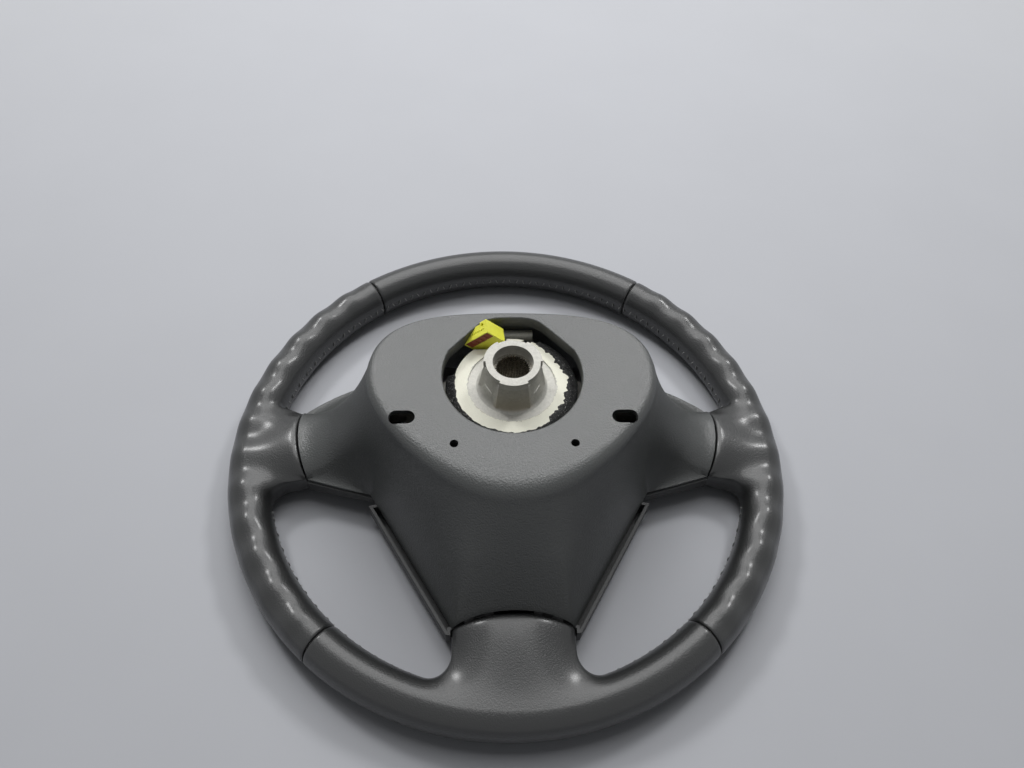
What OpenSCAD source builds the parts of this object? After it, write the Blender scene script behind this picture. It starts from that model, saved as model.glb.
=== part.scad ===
// Car steering wheel with a leather rim and three spokes, lying face down on its rim.
// Z is the steering axis and points towards the column, +Y is 12 o'clock.
// Z = 0 is the front plane of the rim, and the origin lies on the hub's axis.

/* [Rim] */
// Outer diameter of the rim
rim_d = 375; // [365:1:385]
// Width of the rim tube, seen from the front
tube_w = 27; // [25:0.5:29]
// Depth of the rim tube, front to back
tube_h = 31; // [29:0.5:33]
// Thickness of the leather
leather_t = 1.8; // [1.2:0.1:2.4]
// Diameter of the steel hoop inside the rim
hoop_d = 11; // [9:0.5:12]
// Half angle of the top leather panel, about 12 o'clock
top_seam_a = 35.4; // [32:0.2:38]
// Half angle of the bottom leather panel, about 6 o'clock
bottom_seam_a = 41.1; // [38:0.2:44]
// Groove left open where two leather panels meet
seam_gap = 0.6; // [0.3:0.1:1]

/* [Finger grips] */
// Angle from one finger ridge to the next
grip_pitch = 8.2; // [7.4:0.1:9]
// Height of a finger ridge over the valleys beside it
grip_depth = 1.8; // [0.4:0.1:2.4]
// Angle of the topmost finger ridge above 3 o'clock
grip_top_a = 38.8; // [36:0.2:42]

/* [Hub] */
// Height of the rear cover's flat back over the front of the rim
cover_z = 107; // [102:1:112]
// How far the hub boss stands out of the rear cover
boss_proud = 11; // [9:0.5:13]
// Height of the hub boss over the flange
boss_h = 22.5; // [21:0.5:24]
// Radius of the hub boss at its lugs
boss_r = 17.5; // [16.5:0.1:19]
// Radius of the machined flange
flange_r = 35.5; // [34.5:0.1:36]
// Height of the flange over the latch plate
flange_h = 15.5; // [14.5:0.5:17]
// Thickness of the latch plate and the spoke roots
plate_t = 6; // [5:0.5:7]
// Radius of the socket for the column's shoulder
socket_r = 12.1; // [11.8:0.1:12.4]
// Depth of that socket
socket_h = 8; // [7:0.5:9]
// Outer radius of the cast-in steel sleeve
sleeve_r = 14; // [13.6:0.1:14.2]
// Radius of the plain column bore, and of the serration's tips
bore_r = 9.8; // [9.4:0.1:10.2]
// Depth of the serration grooves
spline_h = 1; // [0.8:0.1:1.2]
// Number of serration grooves
spline_n = 36; // [30:1:44]

/* [Rear cover] */
// Wall thickness of the rear cover
cover_t = 2.5; // [2:0.1:3]
// Half width of the cover's flat back
back_w = 87; // [84:0.5:89]
// Half width of the cover at its lower end
foot_w = 36.5; // [34:0.5:38]
// Radius of the round opening over the hub
opening_r = 42; // [41.5:0.1:43]
// Height of the opening's flat top edge over the hub's axis
opening_top = 43.3; // [42.8:0.1:43.8]
// Depth of the collar round the opening
collar_h = 8; // [6:0.5:9]
// Length of an oval latch slot
slot_l = 15.3; // [13:0.1:16]
// Width of an oval latch slot
slot_w = 9; // [8:0.1:9.6]
// Diameter of the two screw holes
screw_hole_d = 5; // [4.8:0.1:5.6]
// Open seam between the rear cover and the leather
cover_gap = 0.6; // [0.4:0.1:1]

/* [Front trims] */
// Wall thickness of the trims on the spokes
trim_t = 2.2; // [1.8:0.1:2.6]
// Black gap between the cover's lower edges and the bezel
bezel_gap = 2.3; // [1.8:0.1:2.8]
// Gap round the airbag cover
pad_gap = 1.2; // [1:0.1:1.6]

/* [Airbag module] */
// Lowest point of the airbag cover over the front plane of the rim
pad_front_z = 6.5; // [5:0.5:8]
// Radius of the airbag cover's dome
pad_dome_r = 600; // [500:10:700]
// Wall thickness of the airbag cover
pad_t = 3; // [2.6:0.1:3.4]
// Height of the module's steel tray
tray_z = 40; // [38:0.5:42]
// Thickness of the steel tray
tray_t = 2; // [1.6:0.1:2.4]
// Travel of the horn
horn_travel = 2.5; // [1.5:0.1:3]
// Radius of the inflator
inflator_r = 33; // [30:0.5:34]
// Radius of a latch pin
pin_r = 4; // [3.6:0.1:4.2]
// Running clearance of a latch pin in its bush
pin_clearance = 0.06; // [0.04:0.01:0.1]
// Wire diameter of a retaining clip
clip_wire = 1.6; // [1.4:0.1:1.8]
// Wire diameter of a horn spring
spring_wire = 1.5; // [1.2:0.1:1.6]

/* [Hidden] */
$fn = 64;
eps = 0.01;
glue_gap = 0.02;
thread_gap = 0.05;

// Heights and radii that follow from the sizes above
rim_z = tube_h / 2;
rim_r = rim_d / 2 - tube_w / 2;
rim_in_r = rim_d / 2 - tube_w;
boss_z = cover_z + boss_proud;
flange_z = boss_z - boss_h;
plate_z = flange_z - flange_h;
plate_r = flange_r + 5.5;
tray_top = tray_z + tray_t;
plate_low_z = plate_z - plate_t;
stud_r = inflator_r + 6;
pad_w = 72;

// A place on a spoke, as a share of its reach from the latch plate, at x = 72, to the rim
root_x = 72;
function out_x(share) = mix(root_x, rim_in_r, share);

// Side spoke: its leather seam from top to bottom, the edges' heights and directions
seam_top = [out_x(0.78), 26.5];
seam_bend = [out_x(0.82), 0];
seam_foot = [out_x(0.695), -25];
edge_z = 24;
seam_crown = 11.5;
seam_front_z = 9.5;
upper_edge_a = 23;
lower_edge_a = -11;
notch_r = 3;
fillet_r = 11.6;

// Lower spoke: its seam's middle height, its corner, and its fillet to the rim
foot_y = -out_x(0.621);
foot_rise = 6.5;
foot_fillet = 12.3;
foot_crown = 12;

// Rear cover: centre of its flat back and that outline's reach upwards and downwards
back_c = [0, 4];
back_up = 44;
back_down = 84;
cover_top_y = 62;
v_corner = [91, -37];
latch_at = [pad_w - 16, -31.3];
slot_at = latch_at + [8.5, 0];
hole_at = [34.2, -49.3];

// Places of the latch pins, the module's studs and the trim screws
pin_at = [latch_at, [-latch_at[0], latch_at[1]], [2, 43.2]];
trim_screw_at = [out_x(0.452), 0];
bezel_screw_at = [21, foot_y + 10.1];
contact_at = [pad_w - 15, 8];

// Harness plug: its centre, its turn and its size
plug_at = [-17, 33.8, 99.6];
plug_turn = [9, -41.5, -1];
plug_size = [19.5, 9.5, 16.9];

// Points of the harness loom, from the plug through the hub to the left contact post
loom_d = 5;
loom_route = [[-11.25, 35.06, 93.13], [-9.8, 35.35, 91.2], [-8.8, 35.5, 87], [-9.2, 35, 82.5],
    [-10.4, 34, 77.5], [-12.6, 32.2, 73], [-16.5, 30, 69.6], [-22, 27, 67.8], [-29, 23.2, 67],
    [-36.5, 19.2, 67], [-44, 15.2, 67.6], [-49, 12.5, 68.3], [-52.8, 10.4, 69]];

// Plain helpers
function mix(a, b, t) = a + (b - a) * t;
function ease(t) = let (c = min(1, max(0, t))) c * c * (3 - 2 * c);
function dir(a) = [cos(a), sin(a)];
function unit(v) = v / norm(v);
function bearing(p) = atan2(p[1], p[0]);
function flip(p) = [-p[0], p[1]];
function at(list, i) = list[(i + len(list)) % len(list)];
function bend(p, q, r, t) = (1 - t) * (1 - t) * p + 2 * t * (1 - t) * q + t * t * r;
function arc(c, r, a0, a1, n) = [for (i = [0:n]) c + r * dir(mix(a0, a1, i / n))];

// A corner of a polygon, rounded to radius r with n steps
function corner(p, a, b, r, n) = let (
        u = unit(a - p), v = unit(b - p), half = acos(u * v) / 2, span = 180 - 2 * half,
        c = p + unit(u + v) * r / sin(half),
        e = unit(p + u * r / tan(half) - c), f = unit(p + v * r / tan(half) - c))
    [for (k = [0:n]) c + r * (sin(span * (1 - k / n)) * e + sin(span * k / n) * f) / sin(span)];
function rounded(pts, r, n) = [for (i = [0:len(pts) - 1])
    each corner(pts[i], at(pts, i - 1), at(pts, i + 1), r[i], n)];

// A counter-clockwise polygon with all its edges moved inwards by d
function inward(p, q) = let (e = unit(q - p)) [-e[1], e[0]];
function inset(pts, d) = [for (i = [0:len(pts) - 1])
    let (m = inward(at(pts, i - 1), pts[i]), n = inward(pts[i], at(pts, i + 1)))
    pts[i] + d * (m + n) / (1 + m * n)];

// Solid between closed rings of points, with a flat cap at each end
module loft(rings) {
    n = len(rings[0]);
    last = len(rings) - 1;
    sides = [for (j = [0:last - 1], i = [0:n - 1]) let (k = (i + 1) % n)
        each [[j * n + i, j * n + k, (j + 1) * n + k], [j * n + i, (j + 1) * n + k, (j + 1) * n + i]]];
    caps = [[for (i = [n - 1:-1:0]) i], [for (i = [0:n - 1]) last * n + i]];
    polyhedron(concat([for (r = rings) each r], []), concat(sides, caps));
}

// Solid between rings that close on themselves, such as a shell round an opening
module loop_loft(rings) {
    n = len(rings[0]);
    m = len(rings);
    sides = [for (j = [0:m - 1], i = [0:n - 1]) let (k = (i + 1) % n, h = (j + 1) % m)
        each [[j * n + i, j * n + k, h * n + k], [j * n + i, h * n + k, h * n + i]]];
    polyhedron([for (r = rings) each r], sides);
}

// Round wire or lead swept along points in space
function tube_rings(path, r, n, up) = [for (i = [0:len(path) - 1]) let (
        t = unit(path[min(i + 1, len(path) - 1)] - path[max(i - 1, 0)]),
        s = unit(cross(t, up)), u = cross(s, t))
    [for (k = [0:n - 1]) path[i] + r * (cos(360 * k / n) * s + sin(360 * k / n) * u)]];

// Ellipse of half axes a and b round the rim's centre line, as a profile to revolve
module rim_profile(a, b) {
    translate([rim_r, rim_z])
        polygon([for (i = [0:27]) [a * cos(360 * i / 28), b * sin(360 * i / 28)]]);
}

// Centre of the fillet of radius f between the rim's inner circle and a spoke edge.
// The edge runs from p in direction a, and the fillet lies on its side s, 1 for left.
function fillet_c(p, a, s, f) = let (
        d = dir(a), q = p + s * f * [-d[1], d[0]], k = q * d)
    q + d * (sqrt(k * k - q * q + pow(rim_in_r - f, 2)) - k);

// Inner edge of the right leather panel beside its spoke, from the notch to the lower fillet.
// Each point is [x, y], how blunt the section is there, and the place along the seam.
notch_c = fillet_c(seam_top, upper_edge_a, 1, notch_r);
hook_c = fillet_c(seam_foot, lower_edge_a, -1, fillet_r);
side_edge = concat(
    [for (i = [0:3]) [arc(notch_c, notch_r, bearing(notch_c), upper_edge_a - 90, 3)[i], i / 5, 0]],
    [for (i = [0:8]) [bend(seam_top, seam_bend, seam_foot, i / 8), 1, i / 8]],
    [for (i = [0:5]) [arc(hook_c, fillet_r, lower_edge_a + 90, bearing(hook_c), 5)[i],
        0.8 * (1 - i / 5), 1]]);
side_from_a = bearing(notch_c);
side_to_a = bearing(hook_c);

// The same for the bottom panel, from its left fillet across the lower spoke to the right one
foot_c = fillet_c([foot_w, foot_y], -90, 1, foot_fillet);
function foot_seam(x) = foot_y + foot_rise * (1 - pow(x / foot_w, 2));
foot_half = [for (i = [0:5]) [arc(foot_c, foot_fillet, bearing(foot_c), -180, 5)[i], i / 6, 1]];
foot_edge = concat(
    [for (p = foot_half) [flip(p[0]), p[1], 0]],
    [for (i = [0:10]) let (x = mix(-foot_w, foot_w, i / 10)) [[x, foot_seam(x)], 1, i / 10]],
    [for (i = [5:-1:0]) foot_half[i]]);
foot_from_a = -180 - bearing(foot_c);
foot_to_a = bearing(foot_c);

// Height of a spoke's back along its seam, t = 0 and 1 at its edges
function seam_z(t, crown) = edge_z + crown * pow(1 - pow(abs(2 * t - 1), 2.5), 0.6);

// Finger ridges of the side panels, faded out towards the cross seams
function ridge(a) = grip_depth / 2 * cos(360 * (a - grip_top_a) / grip_pitch)
    * ease((90 - top_seam_a - a) / 7) * ease((a + 90 - bottom_seam_a) / 5);

// One section of a leather panel at rim angle a, whose inner end is at q.
// It is an ellipse where the rim is free, and a blunt slab where it reaches along a spoke.
// The finger ridges are highest at ridge_f round the tube, counted from its outside.
sides_n = 20;
ridge_f = 78;
function leather_section(a, q, blunt, back, front, lift) = let (
        out = dir(a), t = rim_r * out, v = q - t, n = 2 + 3 * blunt)
    [for (i = [0:sides_n - 1]) let (
            f = 360 * i / sides_n, c = cos(f), s = sin(f),
            g = pow(abs(c), 2 / n), h = sign(s) * pow(abs(s), 2 / n), w = blunt * ease(g),
            l = lift * pow(max(0, cos(f - ridge_f)), 3))
        c >= 0
        ? [t[0] + out[0] * (tube_w / 2 * c + l * c), t[1] + out[1] * (tube_w / 2 * c + l * c),
            rim_z + rim_z * s + l * s]
        : [t[0] + v[0] * g, t[1] + v[1] * g,
            mix(rim_z, (back + front) / 2, w) + mix(rim_z, (back - front) / 2, w) * h + l * s]];
function free_section(a, lift) = leather_section(a, rim_in_r * dir(a), 0, 0, 0, lift);

// Rings of the right panel, from its top seam to its bottom seam
half_gap_a = seam_gap / 2 / rim_r * 180 / PI;
side_top_a = 90 - top_seam_a - half_gap_a;
side_low_a = bottom_seam_a - 90 + half_gap_a;
upper_n = ceil((side_top_a - side_from_a) / grip_pitch * 4);
lower_n = ceil((side_to_a - side_low_a) / grip_pitch * 4);
side_rings = concat(
    [for (i = [0:upper_n - 1]) let (a = mix(side_top_a, side_from_a, i / upper_n))
        free_section(a, ridge(a))],
    [for (i = [0:len(side_edge) - 1]) let (
            a = mix(side_from_a, side_to_a, i / (len(side_edge) - 1)), e = side_edge[i])
        leather_section(a, e[0], e[1], seam_z(e[2], seam_crown), seam_front_z, ridge(a))],
    [for (i = [1:lower_n]) let (a = mix(side_to_a, side_low_a, i / lower_n))
        free_section(a, ridge(a))]);
low_n = 5;
foot_rings = concat(
    [for (i = [0:low_n - 1]) free_section(mix(bottom_seam_a + 180 + 90 - 2 * bottom_seam_a
        + half_gap_a, foot_from_a + 360, i / low_n), 0)],
    [for (i = [0:len(foot_edge) - 1]) let (
            a = mix(foot_from_a, foot_to_a, i / (len(foot_edge) - 1)), e = foot_edge[i])
        leather_section(a, e[0], e[1], seam_z(e[2], foot_crown), seam_front_z, 0)],
    [for (i = [1:low_n]) free_section(mix(foot_to_a, bottom_seam_a - 90 - half_gap_a, i / low_n), 0)]);

// Steel hoop and foam core of the rim, as solids to keep or to cut with
module hoop_solid() {
    rotate_extrude() translate([rim_r, rim_z]) circle(d = hoop_d, $fn = 48);
}
foam_side = [38, 16];
foam_foot = [52, 16];
foam_side_x = seam_top[0] + 3;
foam_foot_y = foot_y - 17;
module foam_solid() {
    rotate_extrude() rim_profile(tube_w / 2 - leather_t, rim_z - leather_t);
    for (s = [0, 180]) rotate(s)
        translate([foam_side_x, -foam_side[0] / 2, rim_z - foam_side[1] / 2 + 2])
            cube([rim_r - foam_side_x, foam_side[0], foam_side[1]]);
    translate([-foam_foot[0] / 2, -rim_r, rim_z - foam_foot[1] / 2 + 2])
        cube([foam_foot[0], rim_r + foam_foot_y, foam_foot[1]]);
}

// Side view of a spoke arm, its upper side outwards and its lower side back again.
// Each point is [share of the reach from the plate to the rim, share of the height from the
// rim's middle to the plate]. The root of the arm lies inside the plate.
arm_root = 30;
function arm_points(line) = concat([[arm_root, plate_z]],
    [for (p = line) [out_x(p[0]), mix(rim_z, plate_z, p[1])]], [[arm_root, plate_low_z]]);
side_line = [[0, 1], [0.18, 0.91], [0.29, 0.7], [0.41, 0.46], [0.54, 0.27], [0.7, 0.14], [0.9, 0.09],
    [1.24, 0.09], [1.24, -0.1], [0.88, -0.07], [0.7, 0.01], [0.54, 0.13], [0.38, 0.33], [0.26, 0.6],
    [0.135, 0.82], [0, 0.907]];
foot_line = [[0.07, 1], [0.2, 0.87], [0.32, 0.68], [0.42, 0.45], [0.51, 0.27], [0.61, 0.17], [0.84, 0.09],
    [1.24, 0.09], [1.24, -0.1], [0.84, -0.06], [0.655, 0.02], [0.54, 0.12], [0.44, 0.29], [0.34, 0.53],
    [0.226, 0.73], [0.023, 0.907]];
side_arm_w = 26;
foot_arm = [12, 29];
module side_arms() {
    for (s = [0, 180]) rotate(s)
        translate([0, side_arm_w / 2, 0]) rotate([90, 0, 0])
            linear_extrude(side_arm_w) polygon(arm_points(side_line));
}
module foot_arms() {
    for (s = [-1, 1])
        rotate(-90) translate([0, s * (foot_arm[0] + foot_arm[1]) / 2 + (foot_arm[1] - foot_arm[0]) / 2, 0])
            rotate([90, 0, 0])
                linear_extrude(foot_arm[1] - foot_arm[0]) polygon(arm_points(foot_line));
}

// Channels that lighten the arms from below, clear of the rim
module arm_channels() {
    rib = 3.5;
    for (s = [0, 180]) rotate(s) intersection() {
        translate([0, side_arm_w / 2 - rib, -plate_t * 0.6]) rotate([90, 0, 0])
            linear_extrude(side_arm_w - 2 * rib) polygon(arm_points(side_line));
        translate([out_x(0.07), -side_arm_w, 0]) cube([out_x(0.59) - out_x(0.07), 2 * side_arm_w, plate_z]);
    }
}

// Part of the latch plate that carries the bar, seen from above
module bar_seat() {
    translate([bar_x[0] - 2, 20]) square([bar_x[1] - bar_x[0] + 3.5, bar_y - 15.5]);
}

// Latch plate of the casting, seen from above
module plate_outline() {
    difference() {
        union() {
            circle(plate_r);
            for (s = [-1, 1]) {
                translate([s * pin_at[0][0], pin_at[0][1]]) circle(10);
                translate([s * hole_at[0], hole_at[1]]) circle(7);
                polygon([for (p = [[arm_root, -8], latch_at + [8, 21], latch_at + [10, 0],
                    latch_at + [0, -10], hole_at + [0, -7], [20, hole_at[1] - 10], [20, -arm_root]])
                    [s * p[0], p[1]]]);
            }
            bar_seat();
        }
        // Open on the upper left, beside the machined flange
        difference() {
            polygon([[0, 0], 60 * dir(118), 60 * dir(142), 60 * dir(166)]);
            circle(flange_r);
            bar_seat();
        }
        // Passage for the harness loom, and the small lightening hole to its right
        translate([-16, 28.5]) square([11.5, 12]);
    }
}

// Boss of the hub: six flats that widen towards the flange, a flared foot, and a mouth with
// three lugs. It stands in the shallow dish of the flange.
dish_r = 27;
dish_h = 0.9;
dish_z = flange_z - dish_h;
lug_h = 5;
lug_a = 58;
lug_at_a = [30, 150, 270];
mouth_r = boss_r - 1.3;
module hub_boss() {
    taper_h = boss_z - lug_h - dish_z;
    color("#9b9a95") difference() {
        union() {
            translate([0, 0, dish_z]) {
                cylinder(h = taper_h + 0.6, r1 = boss_r + 3.2, r2 = boss_r - 0.2, $fn = 6);
                rotate_extrude() polygon([[0, 0], [boss_r + 4.3, 0], [boss_r + 3, 0.7], [boss_r + 1.9, 1.9],
                    [boss_r + 1, 4], [boss_r - 0.2, 8], [0, 8]]);
            }
            translate([0, 0, boss_z - lug_h]) linear_extrude(lug_h) {
                circle(mouth_r);
                intersection() {
                    circle(boss_r);
                    for (a = lug_at_a)
                        polygon([[0, 0], for (d = [-lug_a / 2, 0, lug_a / 2]) 2 * boss_r * dir(a + d)]);
                }
            }
        }
        sleeve_seat();
        translate([0, 0, boss_z - socket_h]) cylinder(h = socket_h + 1, r = socket_r);
    }
}

// Seat of the sleeve, from below the plate up to the socket
module sleeve_seat() {
    translate([0, 0, plate_low_z - 3]) cylinder(h = boss_z - socket_h - plate_low_z + 3, r = sleeve_r);
}

// Bar across the top of the hub, on two feet, over the upper latch pin
bar_x = [-16, 14.5];
bar_y = 44;
bar_d = 7;
bar_z = plate_z + 12;
module hub_bar() {
    foot = [3.5, bar_d - 1.2];
    translate([bar_x[0], bar_y, bar_z - bar_d / 2]) rotate([0, 90, 0])
        cylinder(h = bar_x[1] - bar_x[0], d = bar_d);
    for (x = [bar_x[0] + 0.4, bar_x[1] - foot[0] - 0.4])
        translate([x, bar_y - foot[1] / 2, plate_z - 1])
            cube([foot[0], foot[1], bar_z - plate_z - bar_d / 2 + 1]);
}

bush_r = pin_r + 2;
// How far the sleeve and its seat reach below the plate
hub_drop = 2;
bezel_face = edge_z - 5;
module hub_casting() {
    trim_face = edge_z;
    color("silver") difference() {
        union() {
            difference() {
                union() {
                    side_arms();
                    foot_arms();
                    translate([0, 0, plate_z - plate_t]) linear_extrude(plate_t) plate_outline();
                }
                arm_channels();
            }
            translate([0, 0, plate_low_z - hub_drop]) cylinder(h = plate_t + hub_drop + eps, r = 24);
            difference() {
                translate([0, 0, plate_z - eps]) cylinder(h = flange_h + eps, r = flange_r);
                // Shallow dish round the boss, and the notch that clears the plug
                translate([0, 0, dish_z]) cylinder(h = dish_h + 1, r = dish_r);
                translate([-30, 27, plate_z - 1]) cube([27.5, 20, flange_h + 2]);
            }
            hub_bar();
            for (s = [-1, 1]) {
                translate([s * trim_screw_at[0], trim_screw_at[1], trim_face])
                    cylinder(h = 12, r = 5);
                translate([s * bezel_screw_at[0], bezel_screw_at[1], bezel_face]) {
                    cylinder(h = 6, r = 2.8);
                    translate([0, 0, edge_z - bezel_face]) cylinder(h = bezel_head_z - edge_z, r = 5.2);
                }
            }
        }
        sleeve_seat();
        // Seats of the pin bushes, and the pocket that the upper pin's tip moves in
        for (p = pin_at) translate([p[0], p[1], plate_low_z - 1]) cylinder(h = plate_t + 2, r = bush_r);
        translate([pin_at[2][0], pin_at[2][1], plate_z])
            cylinder(h = pin_tip_z + horn_travel + 0.6 - plate_z, r = pin_r + 0.8);
        // Small triangular lightening hole beside the bar
        translate([0, 0, plate_low_z - 1])
            linear_extrude(flange_h + plate_t + 2) polygon([[5.5, 33], [11.5, 30.5], [13.5, 33.4], [12, 36]]);
        // Screw holes
        for (s = [-1, 1]) {
            translate([s * hole_at[0], hole_at[1], plate_low_z - 1])
                cylinder(h = plate_t + 2, r = cover_screw_r);
            translate([s * trim_screw_at[0], trim_screw_at[1], trim_face - 1]) cylinder(h = 30, r = trim_screw_r);
            translate([s * trim_screw_at[0], trim_screw_at[1], trim_head_z]) cylinder(h = 30, r = 4.6);
            translate([s * bezel_screw_at[0], bezel_screw_at[1], bezel_face - 1])
                cylinder(h = 30, r = trim_screw_r);
            translate([s * bezel_screw_at[0], bezel_screw_at[1], bezel_head_z]) cylinder(h = 30, r = 4.2);
        }
        hoop_solid();
    }
}

// Screws: radii, and the heights of their heads
cover_screw_r = 1.3;
trim_screw_r = 2;
trim_head_z = 34;
bezel_head_z = 31;

module spline_sleeve() {
    length = boss_z - socket_h - plate_low_z + hub_drop;
    land = 12;
    tooth_a = 360 / spline_n;
    color("dimgray") translate([0, 0, plate_low_z - hub_drop]) difference() {
        cylinder(h = length, r = sleeve_r);
        translate([0, 0, -1]) cylinder(h = length + 2, r = bore_r);
        translate([0, 0, land]) linear_extrude(length) polygon([for (i = [0:spline_n - 1])
            each [bore_r * dir(tooth_a * i), (bore_r + spline_h) * dir(tooth_a * (i + 0.3)),
                (bore_r + spline_h) * dir(tooth_a * (i + 0.6)), bore_r * dir(tooth_a * (i + 0.9))]]);
    }
}

module rim_hoop() {
    color("gray") hoop_solid();
}

module rim_foam() {
    color("darkslategray") difference() {
        foam_solid();
        hoop_solid();
        side_arms();
        foot_arms();
    }
}

module leather_top() {
    color("#2b2c2c") rotate(90 - top_seam_a + half_gap_a)
        rotate_extrude(angle = 2 * (top_seam_a - half_gap_a)) difference() {
            rim_profile(tube_w / 2, rim_z);
            rim_profile(tube_w / 2 - leather_t + glue_gap, rim_z - leather_t + glue_gap);
        }
}

module leather_right() {
    color("#2b2c2c") difference() {
        loft(side_rings);
        foam_solid();
        side_arms();
    }
}

module leather_left() {
    color("#2b2c2c") mirror([1, 0, 0]) difference() {
        loft(side_rings);
        foam_solid();
        side_arms();
    }
}

module leather_bottom() {
    color("#2b2c2c") difference() {
        loft(foot_rings);
        foam_solid();
        foot_arms();
    }
}

// Rear cover: its edge from 12 o'clock down the right side to 6 o'clock, as [x, y, z]
top_power = 3.3;
function top_edge_y(x) = mix(cover_top_y, seam_top[1], pow(x / seam_top[0], top_power));
function seam_side(t) = bend(seam_top, seam_bend, seam_foot, t) - [cover_gap, 0];
edge_right = concat(
    [for (i = [0:9]) let (x = seam_top[0] * pow(i / 10, 0.75)) [x, top_edge_y(x), edge_z]],
    [for (i = [0:8]) let (p = seam_side(i / 8)) [p[0], p[1], seam_z(i / 8, seam_crown)]],
    [for (i = [1:5]) let (p = mix(seam_side(1), v_corner, i / 5)) [p[0], p[1], edge_z]],
    [for (i = [1:9]) let (p = mix(v_corner, [foot_w, foot_y + cover_gap], i / 9)) [p[0], p[1], edge_z]],
    [for (i = [1:5]) let (x = foot_w * (1 - i / 5))
        [x, foot_seam(x) + cover_gap, seam_z(0.5 + x / foot_w / 2, foot_crown)]]);
cover_edge = concat(edge_right,
    [for (i = [len(edge_right) - 2:-1:1]) [-edge_right[i][0], edge_right[i][1], edge_right[i][2]]]);

// Reach of the flat back from its centre in direction a: a superellipse, squarer above
function back_reach(a) = let (
        s = sin(a), n = 2.22 + 0.48 * s / sqrt(s * s + 0.04), b = s > 0 ? back_up : back_down)
    pow(pow(abs(cos(a)) / back_w, n) + pow(abs(s) / b, n), -1 / n);

// Reach of the opening from the hub's axis in direction a: round below, three flats above
chamfer_a = 41.4;
flats_from_a = 24.4;
function opening_reach(a) = let (
        s = 90 - abs(90 - (a < -90 ? a + 360 : a)), m = 16,
        c = opening_r * cos(chamfer_a - flats_from_a))
    s < flats_from_a ? opening_r
    : pow(pow(sin(s) / opening_top, m) + pow(cos(s - chamfer_a) / c, m), -1 / m);

// One spoke of the cover's net at edge point e: rows [x, y, z] outside, then back inside
function cover_column(e) = let (
        p = [e[0], e[1]] - back_c, a = bearing(p), u = unit(p), s = sin(a),
        reach = back_reach(a), far = norm(p), fall = cover_z - e[2],
        side = ease((a < -90 ? -150 - a : a + 30) / 14) * ease((50 - (a > 90 ? 180 - a : a)) / 25),
        k = 1 + 1.15 * side,
        round_r = s > 0 ? mix(6, 2, ease(s * 1.6)) : mix(6, 13, ease(-s * 1.2)),
        first = round_r / norm([far - reach, k * fall]),
        hub_a = bearing([e[0], e[1]]), hole = opening_reach(hub_a), h = dir(hub_a),
        skirt = function (t) [mix(reach, far, t), e[2] + fall * pow(1 - t, k)],
        slope = function (t) unit([far - reach, -k * fall * pow(max(1 - t, 0.02), k - 1)]),
        under = function (t) let (q = skirt(t), d = slope(t)) q + cover_t * [d[1], -d[0]],
        knee = function (t) bend([reach - round_r, cover_z], [reach, cover_z], skirt(first), t),
        rim_in = [far - cover_t * (1.15 - 1.14 * side), e[2] - cover_t * side],
        wall = min(norm(back_c + under(first)[0] * u), norm(back_c + (reach - round_r) * u) + 20) - 1,
        lip = min(hole + 2, wall),
        low = cover_z - cover_t,
        outer = concat([knee(0), knee(0.3), knee(0.65), skirt(first)],
            [for (i = [1:5]) skirt(mix(first, 1, i / 5))]),
        inner = [rim_in, under(0.75), under(0.45), under(max(first, 0.12)),
            [reach - round_r * 0.55 - cover_t * 0.35, cover_z - cover_t - round_r * 0.12]])
    concat(
        [[hole * h[0], hole * h[1], cover_z]],
        [for (q = outer) [back_c[0] + u[0] * q[0], back_c[1] + u[1] * q[0], q[1]]],
        [for (q = inner) [back_c[0] + u[0] * q[0], back_c[1] + u[1] * q[0], q[1]]],
        [[lip * h[0], lip * h[1], low], [lip * h[0], lip * h[1], cover_z - collar_h],
            [hole * h[0], hole * h[1], cover_z - collar_h]]);

module rear_cover() {
    columns = [for (e = cover_edge) cover_column(e)];
    post_r = screw_hole_d / 2 + 2;
    color("#3a3b3b") difference() {
        union() {
            loop_loft(columns);
            for (s = [-1, 1]) translate([s * hole_at[0], hole_at[1], plate_z])
                cylinder(h = cover_z - 1 - plate_z, r = post_r);
        }
        for (s = [-1, 1]) {
            translate([s * hole_at[0], hole_at[1], plate_z + 3])
                cylinder(h = cover_z - plate_z, d = screw_hole_d);
            translate([s * hole_at[0], hole_at[1], plate_z - 1]) cylinder(h = 5, r = cover_screw_r);
            translate([s * slot_at[0], slot_at[1], cover_z - 2 * cover_t]) linear_extrude(4 * cover_t) {
                square([slot_l - slot_w, slot_w], center = true);
                for (x = [-1, 1]) translate([x * (slot_l - slot_w) / 2, 0]) circle(d = slot_w);
            }
        }
        // Relief behind the harness plug
        in_plug_frame() cube([for (e = [plug_size[0], plug_size[1], plug_size[2]]) e + 0.8], center = true);
    }
}

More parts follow.
